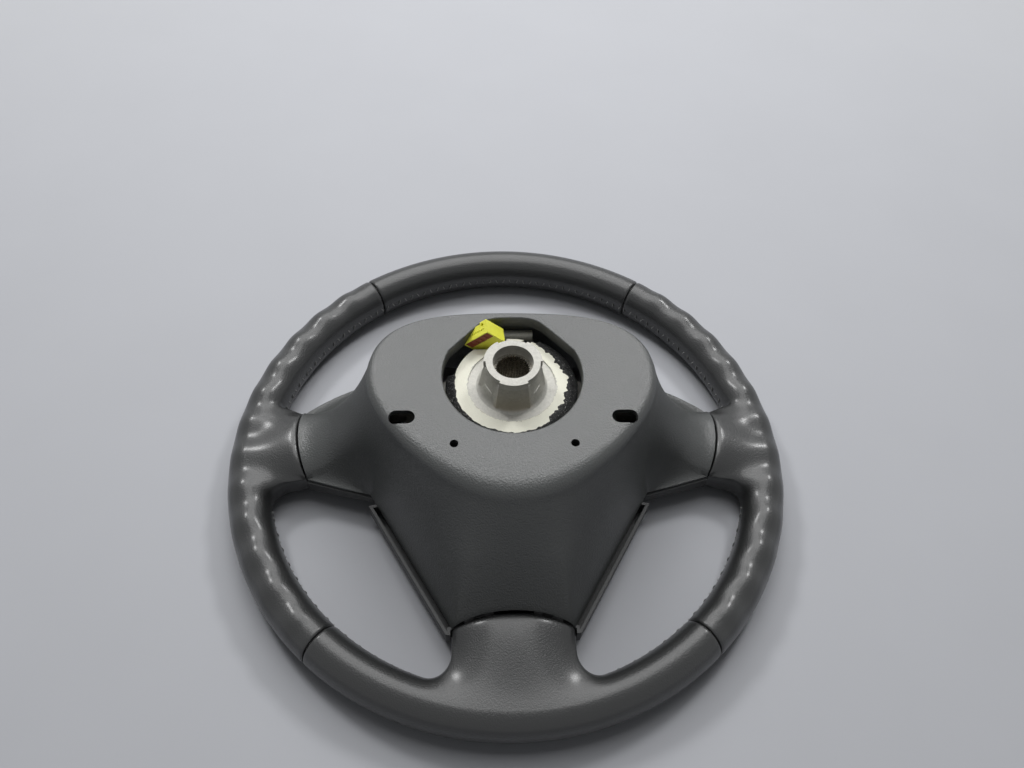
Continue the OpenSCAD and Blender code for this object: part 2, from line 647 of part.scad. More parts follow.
// Front trim of a side spoke: a shallow shell with a crowned face, open towards the back
trim_outline = concat(
    [for (i = [0:5]) let (x = mix(pad_w + pad_gap, seam_top[0] - 0.6, i / 5)) [x, top_edge_y(x) + 0.6]],
    [for (i = [1:7]) seam_side(i / 8)],
    [seam_side(1) + [0, -1.2], v_corner + [-1, -1.2], [pad_w + pad_gap, v_corner[1] - 0.4]]);
trim_lip_z = edge_z - cover_t - 0.3;
bezel_lip_z = edge_z - 0.4;
trim_face_z = 9;
module spoke_trim() {
    boss_top = edge_z;
    difference() {
        union() {
            difference() {
                intersection() {
                    translate([0, 0, trim_face_z]) linear_extrude(trim_lip_z - trim_face_z)
                        polygon(trim_outline);
                    translate([60, 0, trim_face_z + 110]) rotate([0, 90, 0]) cylinder(h = 90, r = 110, $fn = 96);
                }
                intersection() {
                    translate([0, 0, trim_face_z]) linear_extrude(trim_lip_z) offset(delta = -trim_t)
                        polygon(trim_outline);
                    translate([60, 0, trim_face_z + trim_t + 110]) rotate([0, 90, 0])
                        cylinder(h = 90, r = 110, $fn = 96);
                }
            }
            translate([trim_screw_at[0], trim_screw_at[1], trim_face_z + 1])
                cylinder(h = boss_top - trim_face_z - 1, r = 4.5);
        }
        translate([trim_screw_at[0], trim_screw_at[1], trim_face_z + 5]) cylinder(h = 20, r = trim_screw_r);
        // Open at its outer end, where the arm passes into the rim
        translate([seam_top[0] - 10, -side_arm_w / 2 - 0.6, 13]) cube([20, side_arm_w + 1.2, 20]);
    }
}
module spoke_trim_right() {
    color("#46484a") spoke_trim();
}
module spoke_trim_left() {
    color("#46484a") mirror([1, 0, 0]) spoke_trim();
}

// Lower bezel: a shallow frame round the airbag cover's lower part
v_out = [cos(-31.2), sin(-31.2)];
bezel_w = bezel_gap + 2;
bezel_z = 10.5;
bezel_half = [[pad_w + pad_gap, v_corner[1] - 3.5], mix(v_corner, [foot_w, foot_y], 0.06) + bezel_w * v_out,
    [foot_w, foot_y] + bezel_w * v_out, [foot_w + 0.8, foot_y - 2.6],
    [foot_w + 0.8, foot_y + 0.6], [foot_w / 2, foot_seam(foot_w / 2) + 0.6], [0, foot_seam(0) + 0.6]];
bezel_outline = concat([for (i = [0:6]) bezel_half[6 - i]], [for (i = [0:5]) flip(bezel_half[i])]);
module lower_bezel() {
    face = 2.4;
    color("#46484a") difference() {
        union() {
            difference() {
                translate([0, 0, bezel_z]) linear_extrude(bezel_lip_z - bezel_z) polygon(bezel_outline);
                translate([0, 0, bezel_z + face]) linear_extrude(bezel_lip_z) offset(delta = -2)
                    polygon(bezel_outline);
            }
            for (s = [-1, 1]) translate([s * bezel_screw_at[0], bezel_screw_at[1], bezel_z + 1])
                cylinder(h = bezel_face - bezel_z - 1, r = 2.9);
        }
        translate([0, 0, -1]) linear_extrude(40) polygon(pad_outline(-pad_gap));
        // Lower where the casting's arms pass over it
        translate([-foot_arm[1] - 0.6, foot_y - 1, 19.8]) cube([2 * foot_arm[1] + 1.2, 9, 10]);
        for (s = [-1, 1]) translate([s * bezel_screw_at[0], bezel_screw_at[1], bezel_z + 2])
            cylinder(h = 20, r = trim_screw_r);
    }
}

module hub_foam_ring() {
    color("#1d1e1e") translate([0, 0, plate_z]) rotate(-192)
        rotate_extrude(angle = 255) polygon([[flange_r + 0.3, 0], [plate_r - 0.4, 0],
            [plate_r - 0.4, flange_h - 3.5], [plate_r - 2, flange_h - 2], [flange_r + 0.3, flange_h - 1.2]]);
}

// Pan-head screw along Z, its head's underside at z = 0
module pan_screw(r, length, head_r, head_h) {
    translate([0, 0, -length]) cylinder(h = length + eps, r = r - thread_gap);
    difference() {
        rotate_extrude() polygon([[0, 0], [head_r, 0], [head_r, head_h * 0.5], [head_r * 0.75, head_h * 0.85],
            [head_r * 0.4, head_h], [0, head_h]]);
        for (a = [0, 90]) rotate(a) translate([-head_r * 0.6, -0.35, head_h * 0.45])
            cube([head_r * 1.2, 0.7, head_h]);
    }
}
module cover_screws() {
    color("dimgray") for (s = [-1, 1]) translate([s * hole_at[0], hole_at[1], plate_z + 3])
        pan_screw(cover_screw_r, 3 + plate_t - 0.5, screw_hole_d / 2 - 0.15, 2);
}
module trim_screws() {
    color("dimgray") for (s = [-1, 1]) {
        translate([s * trim_screw_at[0], trim_screw_at[1], trim_head_z])
            pan_screw(trim_screw_r, trim_head_z - trim_face_z - 5.5, 4, 2.6);
        translate([s * bezel_screw_at[0], bezel_screw_at[1], bezel_head_z])
            pan_screw(trim_screw_r, bezel_head_z - bezel_z - 2.5, 3.6, 2.2);
    }
}

// Harness plug: a flat block with a row of contact cavities, two ears and a slot for its lock.
// In its own frame X is its width, Y its height and Z points out of its mating face.
lock_size = [17.5, 1.8, 6];
module in_plug_frame() {
    translate(plug_at) rotate(plug_turn) children();
}
module harness_plug() {
    w = plug_size[0];
    h = plug_size[1];
    l = plug_size[2];
    color("#e6e23a") in_plug_frame() difference() {
        translate([-w / 2, -h / 2, -l / 2]) cube([w, h, l]);
        // Row of ten contact cavities, and the round keying holes beside the ears
        for (i = [0:9]) translate([mix(-w / 2 + 3, w / 2 - 3, i / 9) - 0.5, -1.6, l / 2 - 4]) cube([1, 1, 5]);
        for (s = [-1, 1]) translate([s * (w / 2 - 3.6), h / 2 - 2.4, l / 2 - 3]) cylinder(h = 4, d = 2.2);
        // Stepped back between the ears
        translate([-w / 2 + 6, h / 2 - 1.4, l / 2 - 5]) cube([w - 12, 2, 6]);
        for (s = [-1, 1]) translate([s * (w / 2 - 5.8) - 0.6, h / 2 - 1.4, l / 2 - 5]) cube([1.2, 2, 6]);
        // Slot of the lock in the underside
        translate([-lock_size[0] / 2 - 0.1, -h / 2 - 1, l / 2 - lock_size[2] - 0.8])
            cube([lock_size[0] + 0.2, lock_size[1] + 0.9, lock_size[2] + 0.1]);
    }
}
module terminal_lock() {
    color("#8a3520") in_plug_frame()
        translate([-lock_size[0] / 2, -plug_size[1] / 2 + 0.05, plug_size[2] / 2 - lock_size[2] - 0.75])
            difference() {
                cube(lock_size - [0, 0.25, 0]);
                for (i = [1:4]) translate([i * lock_size[0] / 5 - 0.5, -1, 1]) cube([1, 1.5, lock_size[2] - 2]);
            }
}
module harness_loom() {
    color("#1c1c1c") loft(tube_rings(loom_route, loom_d / 2, 10, [0.3, 1, 0.2]));
}

// Wire hairpins that hold the latch pins, open ends towards the cover's slots
clip_half = pin_r * 0.62 + clip_wire / 2 + 0.15;
clip_z = plate_z + clip_wire / 2 + 0.05;
groove_top = clip_z + clip_wire / 2 + 0.15;
pin_tip_z = groove_top + 3;
module hairpin(reach) {
    for (s = [-1, 1]) translate([-6, s * clip_half, clip_z]) rotate([0, 90, 0])
        cylinder(h = 6 + reach, d = clip_wire, $fn = 24);
    translate([-6, 0, clip_z]) rotate(90) rotate_extrude(angle = 180)
        translate([clip_half, 0]) circle(d = clip_wire, $fn = 24);
}
module retaining_clips() {
    color("lightgray") {
        translate(pin_at[0]) hairpin(14);
        translate(pin_at[1]) rotate(180) hairpin(14);
        translate(pin_at[2]) hairpin(7.5);
    }
}

module pin_bushes() {
    color("whitesmoke") for (p = pin_at) translate([p[0], p[1], plate_low_z]) difference() {
        union() {
            cylinder(h = plate_t - 0.2, r = bush_r);
            translate([0, 0, -1.5]) cylinder(h = 1.5, r = bush_r + 0.9);
        }
        translate([0, 0, -2]) cylinder(h = plate_t + 3, r = pin_r + pin_clearance);
    }
}

// Brass horn contacts, which the module's tray meets when the horn is pressed
module contact_posts() {
    low = tray_top + horn_travel + 0.3;
    length = plate_low_z - low;
    color("goldenrod") for (s = [-1, 1]) translate([s * contact_at[0], contact_at[1], low]) {
        cylinder(h = 2, r1 = 1.6, r2 = 3);
        translate([0, 0, 2 - eps]) cylinder(h = length - 2 + eps, r = 3);
        translate([0, 0, length - 7]) cylinder(h = 1.5, r = 4.5);
    }
}

// Horn springs round the latch pins, between the tray and the bushes
module coil(z0, z1, r, wire, turns) {
    steps = 12;
    n = turns * steps;
    ring = 6;
    loft([for (i = [0:n]) let (a = 360 * i / steps, z = mix(z0 + wire / 2, z1 - wire / 2, i / n))
        [for (k = [0:ring - 1]) let (q = r + wire / 2 * cos(360 * k / ring))
            [q * cos(a), q * sin(a), z + wire / 2 * sin(360 * k / ring)]]]);
}
module horn_springs() {
    color("silver") for (p = pin_at) translate([p[0], p[1], 0])
        coil(tray_top + 0.15, plate_low_z - 1.65, pin_r + 2.2, spring_wire, 5);
}

// Airbag cover: a domed shield with a turned edge, and a wall inside that holds the tray
tray_w = pad_w - 6;
pad_low_y = foot_y + 13.5;
tray_low_y = pad_low_y + 20.5;
pad_corners = [[pad_w, 57.5], [-pad_w, 57.5], [-pad_w, -41], [-33, pad_low_y], [33, pad_low_y], [pad_w, -41]];
tray_corners = [[tray_w, 53], [-tray_w, 53], [-tray_w, -38], [-30, tray_low_y], [30, tray_low_y],
    [tray_w, -38]];
pad_round = [20, 20, 26, 14, 14, 26];
tray_round = [16, 16, 20, 12, 12, 20];
function pad_outline(d) = rounded(inset(pad_corners, d), [for (r = pad_round) r - d], 6);
function tray_outline(d) = rounded(inset(tray_corners, d), [for (r = tray_round) r - d], 5);
pad_lip_z = edge_z - horn_travel - 0.5;
pad_wall_z = 31;
pad_c_y = -20;
module dome(d) {
    translate([0, pad_c_y, pad_front_z + d + pad_dome_r]) sphere(r = pad_dome_r, $fn = 200);
}
module pad_cover() {
    color("#333435") {
        difference() {
            intersection() {
                linear_extrude(pad_wall_z) polygon(pad_outline(0));
                dome(0);
            }
            difference() {
                intersection() {
                    linear_extrude(pad_wall_z + 1) polygon(pad_outline(pad_t));
                    dome(pad_t);
                }
                linear_extrude(pad_wall_z + 2) polygon(tray_outline(-pad_t - 0.2));
            }
            intersection() {
                linear_extrude(pad_wall_z + 1) polygon(tray_outline(-0.2));
                dome(pad_t);
            }
            difference() {
                translate([0, 0, pad_lip_z]) linear_extrude(pad_wall_z) polygon(pad_outline(-2));
                linear_extrude(pad_wall_z + 2 + pad_lip_z) polygon(tray_outline(-pad_t - 0.2));
            }
        }
    }
}

// Steel tray of the module, its walls inside the airbag cover's wall
module module_tray() {
    wall_z = 23;
    color("gray") difference() {
        translate([0, 0, wall_z]) linear_extrude(tray_top - wall_z) polygon(tray_outline(0));
        translate([0, 0, wall_z - 1]) linear_extrude(tray_z - wall_z + 1) polygon(tray_outline(tray_t));
        translate([0, 0, wall_z]) cylinder(h = 40, r = inflator_r + 0.3);
        for (i = [0:3]) rotate(45 + 90 * i) translate([stud_r, 0, tray_z - 1])
            cylinder(h = tray_t + 2, r = tray_stud_r + 0.2);
    }
}

// Gas generator with its fixing flange and the socket for its lead
inflator_low_z = 24;
inflator_top_z = 62;
flange_t = 2;
module inflator() {
    color("lightgray") difference() {
        union() {
            rotate_extrude() polygon([[0, inflator_low_z], [inflator_r - 4, inflator_low_z],
                [inflator_r, inflator_low_z + 4], [inflator_r, inflator_top_z - 5],
                [inflator_r - 5, inflator_top_z], [0, inflator_top_z]]);
            translate([0, 0, tray_top]) difference() {
                cylinder(h = flange_t, r = stud_r + 5.5);
                for (i = [0:3]) rotate(45 + 90 * i) translate([stud_r, 0, -1])
                    cylinder(h = flange_t + 2, r = tray_stud_r + 0.2);
                translate([pin_at[2][0], pin_at[2][1], -1]) cylinder(h = 10, r = pin_r + 4);
            }
        }
        translate([0, 0, inflator_top_z - 5]) cylinder(h = 6, r = 5.5);
        for (i = [0:11]) rotate(30 * i) translate([inflator_r - 3, 0, inflator_low_z + 9]) rotate([0, 90, 0])
            cylinder(h = 5, r = 1.5);
    }
}

// Folded cushion round the inflator, and the ring that clamps it to the tray. Four studs on
// the ring pass through the tray and the inflator's flange.
cushion_z = 17;
cushion_front = 3;
ring_t = 2;
ring_out_r = stud_r + 7;
tray_stud_r = 3;
module airbag_cushion() {
    color("lightgoldenrodyellow") difference() {
        translate([0, 0, cushion_z]) linear_extrude(tray_z - cushion_z) polygon(tray_outline(tray_t + 0.4));
        translate([0, 0, cushion_z + cushion_front]) cylinder(h = tray_z, r = inflator_r + 0.3);
        translate([0, 0, tray_z - ring_t - 0.2]) cylinder(h = ring_t + 3, r = ring_out_r + 0.3);
    }
}
module cushion_ring() {
    color("gray") {
        translate([0, 0, tray_z - ring_t]) difference() {
            cylinder(h = ring_t, r = ring_out_r);
            translate([0, 0, -1]) cylinder(h = ring_t + 2, r = inflator_r + 0.6);
        }
        for (i = [0:3]) rotate(45 + 90 * i) translate([stud_r, 0, tray_z - eps])
            cylinder(h = tray_t + flange_t + 7, r = tray_stud_r);
    }
}

module tray_nuts() {
    color("silver") for (i = [0:3]) rotate(45 + 90 * i) translate([stud_r, 0, tray_top + flange_t]) difference() {
        cylinder(h = 5, r = 5.6, $fn = 6);
        translate([0, 0, -1]) cylinder(h = 7, r = tray_stud_r + thread_gap);
    }
}

// Latch pins, riveted to the tray, with the groove that the hairpins sit in
module latch_pins() {
    groove_low = clip_z - clip_wire / 2 - horn_travel - 0.6;
    color("silver") for (p = pin_at) translate([p[0], p[1], 0]) rotate_extrude()
        polygon([[0, tray_top], [pin_r + 1, tray_top], [pin_r + 1, tray_top + 1.5], [pin_r, tray_top + 1.5],
            [pin_r, groove_low], [pin_r * 0.62, groove_low + 0.8], [pin_r * 0.62, groove_top],
            [pin_r, groove_top + 0.2], [pin_r, groove_top + 1], [pin_r - 1.8, pin_tip_z], [0, pin_tip_z]]);
}

hub_casting();
hub_boss();
spline_sleeve();
rim_hoop();
rim_foam();
leather_top();
leather_left();
leather_right();
leather_bottom();
rear_cover();
spoke_trim_left();
spoke_trim_right();
lower_bezel();
hub_foam_ring();
cover_screws();
trim_screws();
harness_plug();
terminal_lock();
harness_loom();
retaining_clips();
pin_bushes();
contact_posts();
horn_springs();
pad_cover();
module_tray();
inflator();
airbag_cushion();
cushion_ring();
tray_nuts();
latch_pins();
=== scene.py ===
"""Car steering wheel, face down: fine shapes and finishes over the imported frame.

Sizes inside the functions are millimetres in the frame's axes, and a mesh is scaled to metres as
it is made. +Z points along the steering axis towards the column, and +Y is 12 o'clock.
"""

import math

import bmesh
import bpy
import numpy as np
from bpy.props import FloatProperty, FloatVectorProperty, PointerProperty
from bpy.types import Operator, Panel, PropertyGroup
from mathutils import Matrix, Vector


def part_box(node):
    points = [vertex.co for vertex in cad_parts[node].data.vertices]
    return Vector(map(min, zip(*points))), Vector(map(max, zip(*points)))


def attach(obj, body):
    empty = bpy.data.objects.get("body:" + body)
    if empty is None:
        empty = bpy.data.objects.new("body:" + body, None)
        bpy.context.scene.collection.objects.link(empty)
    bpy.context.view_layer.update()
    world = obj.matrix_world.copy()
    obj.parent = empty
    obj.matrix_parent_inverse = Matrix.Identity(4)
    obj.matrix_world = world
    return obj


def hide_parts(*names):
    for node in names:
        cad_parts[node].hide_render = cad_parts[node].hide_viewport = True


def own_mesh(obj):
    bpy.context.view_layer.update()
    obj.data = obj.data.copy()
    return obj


bl_info = {
    "name": "Steering wheel finish",
    "version": (1, 0, 0),
    "blender": (4, 5, 0),
    "location": "View3D > Sidebar > Wheel",
    "description": "Leather, moulded cover, cast hub and stage of a car steering wheel",
    "category": "Add Mesh",
}

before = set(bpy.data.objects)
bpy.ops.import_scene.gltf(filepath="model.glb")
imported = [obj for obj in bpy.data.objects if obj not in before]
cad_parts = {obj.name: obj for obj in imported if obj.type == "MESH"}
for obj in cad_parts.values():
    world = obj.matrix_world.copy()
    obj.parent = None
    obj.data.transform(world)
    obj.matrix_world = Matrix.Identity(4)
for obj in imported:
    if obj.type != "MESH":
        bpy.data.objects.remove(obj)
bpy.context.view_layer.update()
MM = 0.001


def node_box(name):
    """Lowest and highest corner of a frame node, in millimetres."""
    low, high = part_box(name)
    return np.array(low) / MM, np.array(high) / MM


# Driving sizes. Where the frame's boxes give one, it is read from them.
RIM_D = round(-2 * node_box("leather_bottom")[0][1], 1)
TUBE_W = 27
TUBE_H = round(node_box("leather_top")[1][2], 1)
COVER_Z = round(node_box("rear_cover")[1][2], 1)
BOSS_Z = round(node_box("hub_boss")[1][2], 1)
FLANGE_Z = BOSS_Z - 22.5
FLANGE_R = 35.5
PLATE_X = 72


def out_x(share):
    """A place on a spoke, as a share of its reach from the latch plate's edge to the rim."""
    return PLATE_X + (RIM_D / 2 - TUBE_W - PLATE_X) * share


# Shapes as in the frame: SEAM_ is the side spoke's seam to the leather, FOOT_ the lower spoke's, and
# BACK_ the flat back of the rear cover
SEAM_TOP = np.array([out_x(0.78), 26.5])
SEAM_BEND = np.array([out_x(0.82), 0])
SEAM_FOOT = np.array([out_x(0.695), -25])
SEAM_CROWN = 11.5
SEAM_FRONT_Z = 9.5
UPPER_EDGE_A = 23
LOWER_EDGE_A = -11
NOTCH_R = 3
FILLET_R = 11.6
FOOT_Y = -out_x(0.621)
FOOT_RISE = 6.5
FOOT_FILLET = 12.3
FOOT_CROWN = 12
EDGE_Z = 24
COVER_TOP_Y = 62
TOP_POWER = 3.3
BACK_C = np.array([0, 4])
BACK_UP = 44
BACK_DOWN = 84
CORNER = np.array([91, -37])
SLOT_AT = np.array([64.5, -31.3])
HOLE_AT = np.array([34.2, -49.3])
RIDGE_F = 78
# Places along the inner edge of a panel's spoke end, eight rings to each
SIDE_LAST = 18
FOOT_LAST = 22
# Open groove between two leather panels, the radius at which their ends turn in, the depth of the dip
# along the inner seam, and the number of points round a section
PANEL_GAP = 0.6
PANEL_TURN = 1.6
SEAM_DIP = 0.3
AROUND = 72
# Columns of the cover for each point of the frame's lower edge, and the row at which its lip and
# inside start, which are painted near black as shade
COVER_FINER = 4
PAINTED_SHADE_ROW = 36

# Stage, in metres: half the floor, the radii between which it fades to the backdrop, and the camera
FLOOR_HALF = 12.0
FLOOR_FADE = (0.45, 1.7)
BACKDROP = (0.97, 0.985, 1.0)
BACKDROP_LEVEL = 0.74
CAMERA_AT = (-0.02060, -0.28607, 0.49018)
CAMERA_TURN = ((0.99910131, 0.00282006, -0.04229212), (-0.0271082, 0.80955523, -0.5864175),
               (0.03258408, 0.58703695, 0.80890413))
SENSOR_MM = 36
PHOTO_PX = 1024
# Each lamp's centre, width, depth and share of the key light's power, and the point all aim at
LAMPS = (((0.0, 0.75, 1.3), 0.9, 1.7, 1.0), ((-0.73, 0.87, 1.28), 0.3, 0.3, 0.5),
         ((0.73, 0.87, 1.28), 0.3, 0.3, 0.5))
LAMP_AIM = (0, -0.02, 0.03)


def number(name, about, default, **more):
    """A number among the settings."""
    return FloatProperty(name=name, description=about, default=default, **more)


def colour(name, about, default):
    """A colour among the settings."""
    return FloatVectorProperty(name=name, description=about, subtype="COLOR", default=default)


class RimSizes(PropertyGroup):
    """Sizes of the leather rim."""

    rim_d: number("Rim diameter", "Outer diameter in mm", RIM_D)
    tube_w: number("Tube width", "Width of the rim tube in mm", TUBE_W)
    tube_h: number("Tube depth", "Depth of the rim tube in mm", TUBE_H)
    top_seam: number("Top seam", "Half angle of the top panel in degrees", 35.4)
    bottom_seam: number("Bottom seam", "Half angle of the bottom panel in degrees", 41.1)
    pitch: number("Ridge pitch", "Degrees from ridge to ridge", 8.2)
    depth: number("Ridge depth", "Ridge over valley in mm", 1.8)
    first: number("First ridge", "Angle of the top ridge", 38.8)
    stitch: number("Stitch pitch", "From stitch to stitch in mm", 5.2)

    @property
    def inner_r(self):
        """Inner radius of the rim."""
        return self.rim_d / 2 - self.tube_w

    @property
    def middle_r(self):
        """Radius of the tube's middle line."""
        return self.rim_d / 2 - self.tube_w / 2


class CoverSizes(PropertyGroup):
    """Sizes of the rear cover."""

    back_w: number("Half width", "Of the flat back in mm", 87)
    foot_w: number("Foot half width", "Lower end in mm", 36.5)
    wall: number("Wall", "Wall thickness in mm", 2.5)
    opening_r: number("Opening radius", "Round opening in mm", 42)
    opening_top: number("Opening top", "Flat top edge in mm", 43.3)
    collar: number("Collar", "Depth of the opening's collar", 8)
    slot_l: number("Slot length", "Of an oval slot in mm", 15.3)
    slot_w: number("Slot width", "Of an oval slot in mm", 9)
    hole_d: number("Hole", "Screw hole diameter in mm", 5)
    gap: number("Seam gap", "Open seam to the leather in mm", 0.6)


class Colours(PropertyGroup):
    """Base colours of the main finishes."""

    leather: colour("Leather", "Dyed leather", (0.014, 0.0145, 0.0145))
    cover: colour("Cover", "Moulded rear cover", (0.050, 0.053, 0.052))
    trim: colour("Trim", "Front trims", (0.012, 0.0125, 0.013))
    cast: colour("Casting", "Die-cast alloy", (0.60, 0.59, 0.54))
    plug: colour("Plug", "Harness plug", (1.0, 0.97, 0.10))


class StageSettings(PropertyGroup):
    """Camera, floor and lamps."""

    focal_px: number("Focal length", "In pixels of a 1024 frame", 800)
    key: number("Key light", "Power in W", 15, subtype="POWER")
    fill: number("Sky", "Strength of the even light", 0.1)
    floor: colour("Floor", "Pale floor", (0.50, 0.51, 0.54))


# Plain helpers on arrays

def mix(a, b, t):
    """Straight blend: a + (b - a) * t."""
    return a + (b - a) * t


def ease(t):
    """Smooth step: 3 t^2 - 2 t^3 with t held between 0 and 1."""
    c = np.clip(t, 0, 1)
    return c * c * (3 - 2 * c)


def direction(a):
    """Unit vectors (cos a, sin a) for angles in degrees."""
    r = np.radians(a)
    return np.stack([np.cos(r), np.sin(r)], -1)


def bearing(p):
    """Angle of plane points in degrees."""
    return np.degrees(np.arctan2(p[..., 1], p[..., 0]))


def at_height(xy, z):
    """Plane points with a height, one for all or one each."""
    return np.concatenate([xy, np.broadcast_to(z, xy.shape[:-1])[..., None]], -1)


def along(u, places, points):
    """Plane points at the places u of a path whose points stand at these rising places."""
    return np.stack([np.interp(u, places, points[:, i]) for i in (0, 1)], -1)


def bend(p, q, r, t):
    """Quadratic curve: (1 - t)^2 p + 2 t (1 - t) q + t^2 r."""
    t = np.asarray(t)[..., None]
    return (1 - t) ** 2 * p + 2 * t * (1 - t) * q + t * t * r


def arc(c, r, a0, a1, t):
    """Points of a circle: c + r * (cos, sin) of the angle blended from a0 to a1."""
    return c + r * direction(mix(a0, a1, np.asarray(t)))


def fillet_centre(p, a, side, f, inner_r):
    """Centre of a fillet of radius f between the circle inner_r and the line from p at angle a.

    The line is moved f to its side, and met with the circle of radius inner_r - f.
    """
    d = direction(a)
    q = p + side * f * np.array([-d[1], d[0]])
    k = q @ d
    return q + d * (math.sqrt(k * k - q @ q + (inner_r - f) ** 2) - k)


# Meshes

def add_object(name, data):
    """A new object in the scene."""
    thing = bpy.data.objects.new(name, data)
    bpy.context.scene.collection.objects.link(thing)
    return thing


def link(mesh, name, finish, slot, body, replaces=()):
    """A piece from a mesh, with the name of its finish and its body. The slot argument is not used."""
    piece = add_object(name, mesh)
    mesh.materials.clear()
    mesh.materials.append(finish_of(finish))
    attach(piece, body)
    if replaces:
        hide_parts(*replaces)
    return piece


def grid_faces(m, n, close_m, close_n, base=0):
    """Quads of an m by n grid of points, row by row, closed on itself in either direction."""
    i = np.arange(m if close_m else m - 1)
    j = np.arange(n if close_n else n - 1)
    i, j = (g.ravel() for g in np.meshgrid(i, j, indexing="ij"))
    i2, j2 = (i + 1) % m, (j + 1) % n
    return np.stack([i * n + j, i * n + j2, i2 * n + j2, i2 * n + j], 1) + base


def mesh_from(name, points, faces):
    """Mesh from millimetre points and faces, which are turned outwards."""
    mesh = bpy.data.meshes.new(name)
    mesh.from_pydata((np.asarray(points).reshape(-1, 3) * MM).tolist(), [], faces)
    mesh.validate()
    bm = bmesh.new()
    bm.from_mesh(mesh)
    bmesh.ops.recalc_face_normals(bm, faces=bm.faces)
    bm.to_mesh(mesh)
    bm.free()
    return mesh


def smooth(mesh, angle):
    """Smooth shading with edges sharper than the angle kept sharp."""
    mesh.shade_smooth()
    mesh.set_sharp_from_angle(angle=math.radians(angle))
    return mesh


def skin(name, rings, angle, *where, caps=True):
    """A smooth piece over m rings of n points, linked as where says.

    It is closed by a fan at each end, or without caps from the last ring to the first.
    """
    m, n = rings.shape[:2]
    points = rings.reshape(-1, 3)
    faces = list(grid_faces(m, n, not caps, True))
    if caps:
        points = np.concatenate([points, rings[:1].mean(1), rings[-1:].mean(1)])
        first, last = m * n, m * n + 1
        faces += [[first, (j + 1) % n, j] for j in range(n)]
        faces += [[last, (m - 1) * n + j, (m - 1) * n + (j + 1) % n] for j in range(n)]
    return link(smooth(mesh_from(name, points, faces), angle), name, *where)


def dress(node, finish, slot, body, bevel):
    """A merged copy of a frame node with smooth faces and, if bevel isn't 0, rounded edges."""
    name, edge_angle = node + "_finished", 35
    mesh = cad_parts[node].data.copy()
    mesh.name = name
    bm = bmesh.new()
    bm.from_mesh(mesh)
    bmesh.ops.remove_doubles(bm, verts=bm.verts, dist=2e-6)
    bmesh.ops.dissolve_limit(bm, angle_limit=math.radians(0.6), verts=bm.verts, edges=bm.edges)
    bm.to_mesh(mesh)
    bm.free()
    piece = link(smooth(mesh, edge_angle), name, finish, slot, body, (node,))
    if bevel:
        rounding = piece.modifiers.new("rounding", "BEVEL")
        rounding.width = bevel * MM
        rounding.segments = 2
        rounding.limit_method = "ANGLE"
        rounding.angle_limit = math.radians(edge_angle)
        rounding.harden_normals = True
    return piece


# Finishes

class Value:
    """A number on a shader socket. Arithmetic on it adds Math nodes."""

    def __init__(self, paint, socket):
        self.paint = paint
        self.socket = socket

    def math(self, operation, *values):
        """A Math node of that operation on these values."""
        node = self.paint.node("ShaderNodeMath", {"operation": operation}, dict(enumerate(values)))
        return Value(self.paint, node.outputs[0])

    def __add__(self, other):
        return self.math("ADD", self, other)

    __radd__ = __add__

    def __sub__(self, other):
        return self.math("SUBTRACT", self, other)

    def __rsub__(self, other):
        return self.math("SUBTRACT", other, self)

    def __mul__(self, other):
        return self.math("MULTIPLY", self, other)

    __rmul__ = __mul__

    def step(self, low, high):
        """0 below low, 1 above high, smooth between."""
        node = self.paint.node(
            "ShaderNodeMapRange", {"interpolation_type": "SMOOTHSTEP"},
            {"Value": self, "From Min": low, "From Max": high})
        return Value(self.paint, node.outputs["Result"])


class Tree:
    """A shader tree, with short ways to add nodes and feed their sockets."""

    def __init__(self, tree):
        self.tree = tree

    def node(self, kind, settings=(), inputs=()):
        """Adds a node: its settings first, then the values or links of its sockets."""
        node = self.tree.nodes.new(kind)
        for key, value in dict(settings).items():
            setattr(node, key, value)
        for key, value in dict(inputs).items():
            self.feed(node.inputs[key], value)
        return node

    def feed(self, socket, value):
        """Gives a socket a value or a link."""
        if isinstance(value, Value):
            value = value.socket
        if isinstance(value, bpy.types.NodeSocket):
            self.tree.links.new(value, socket)
        elif socket.type == "RGBA" and len(value) == 3:
            socket.default_value = (*value, 1)
        else:
            socket.default_value = value

    def seen_rays(self):
        """1 for the rays of the camera, of reflections and of clear materials, and 0 for the rest."""
        rays = self.node("ShaderNodeLightPath").outputs
        seen = Value(self, rays["Is Camera Ray"])
        for ray in ("Is Glossy Ray", "Is Transmission Ray"):
            seen = seen.math("MAXIMUM", seen, rays[ray])
        return seen


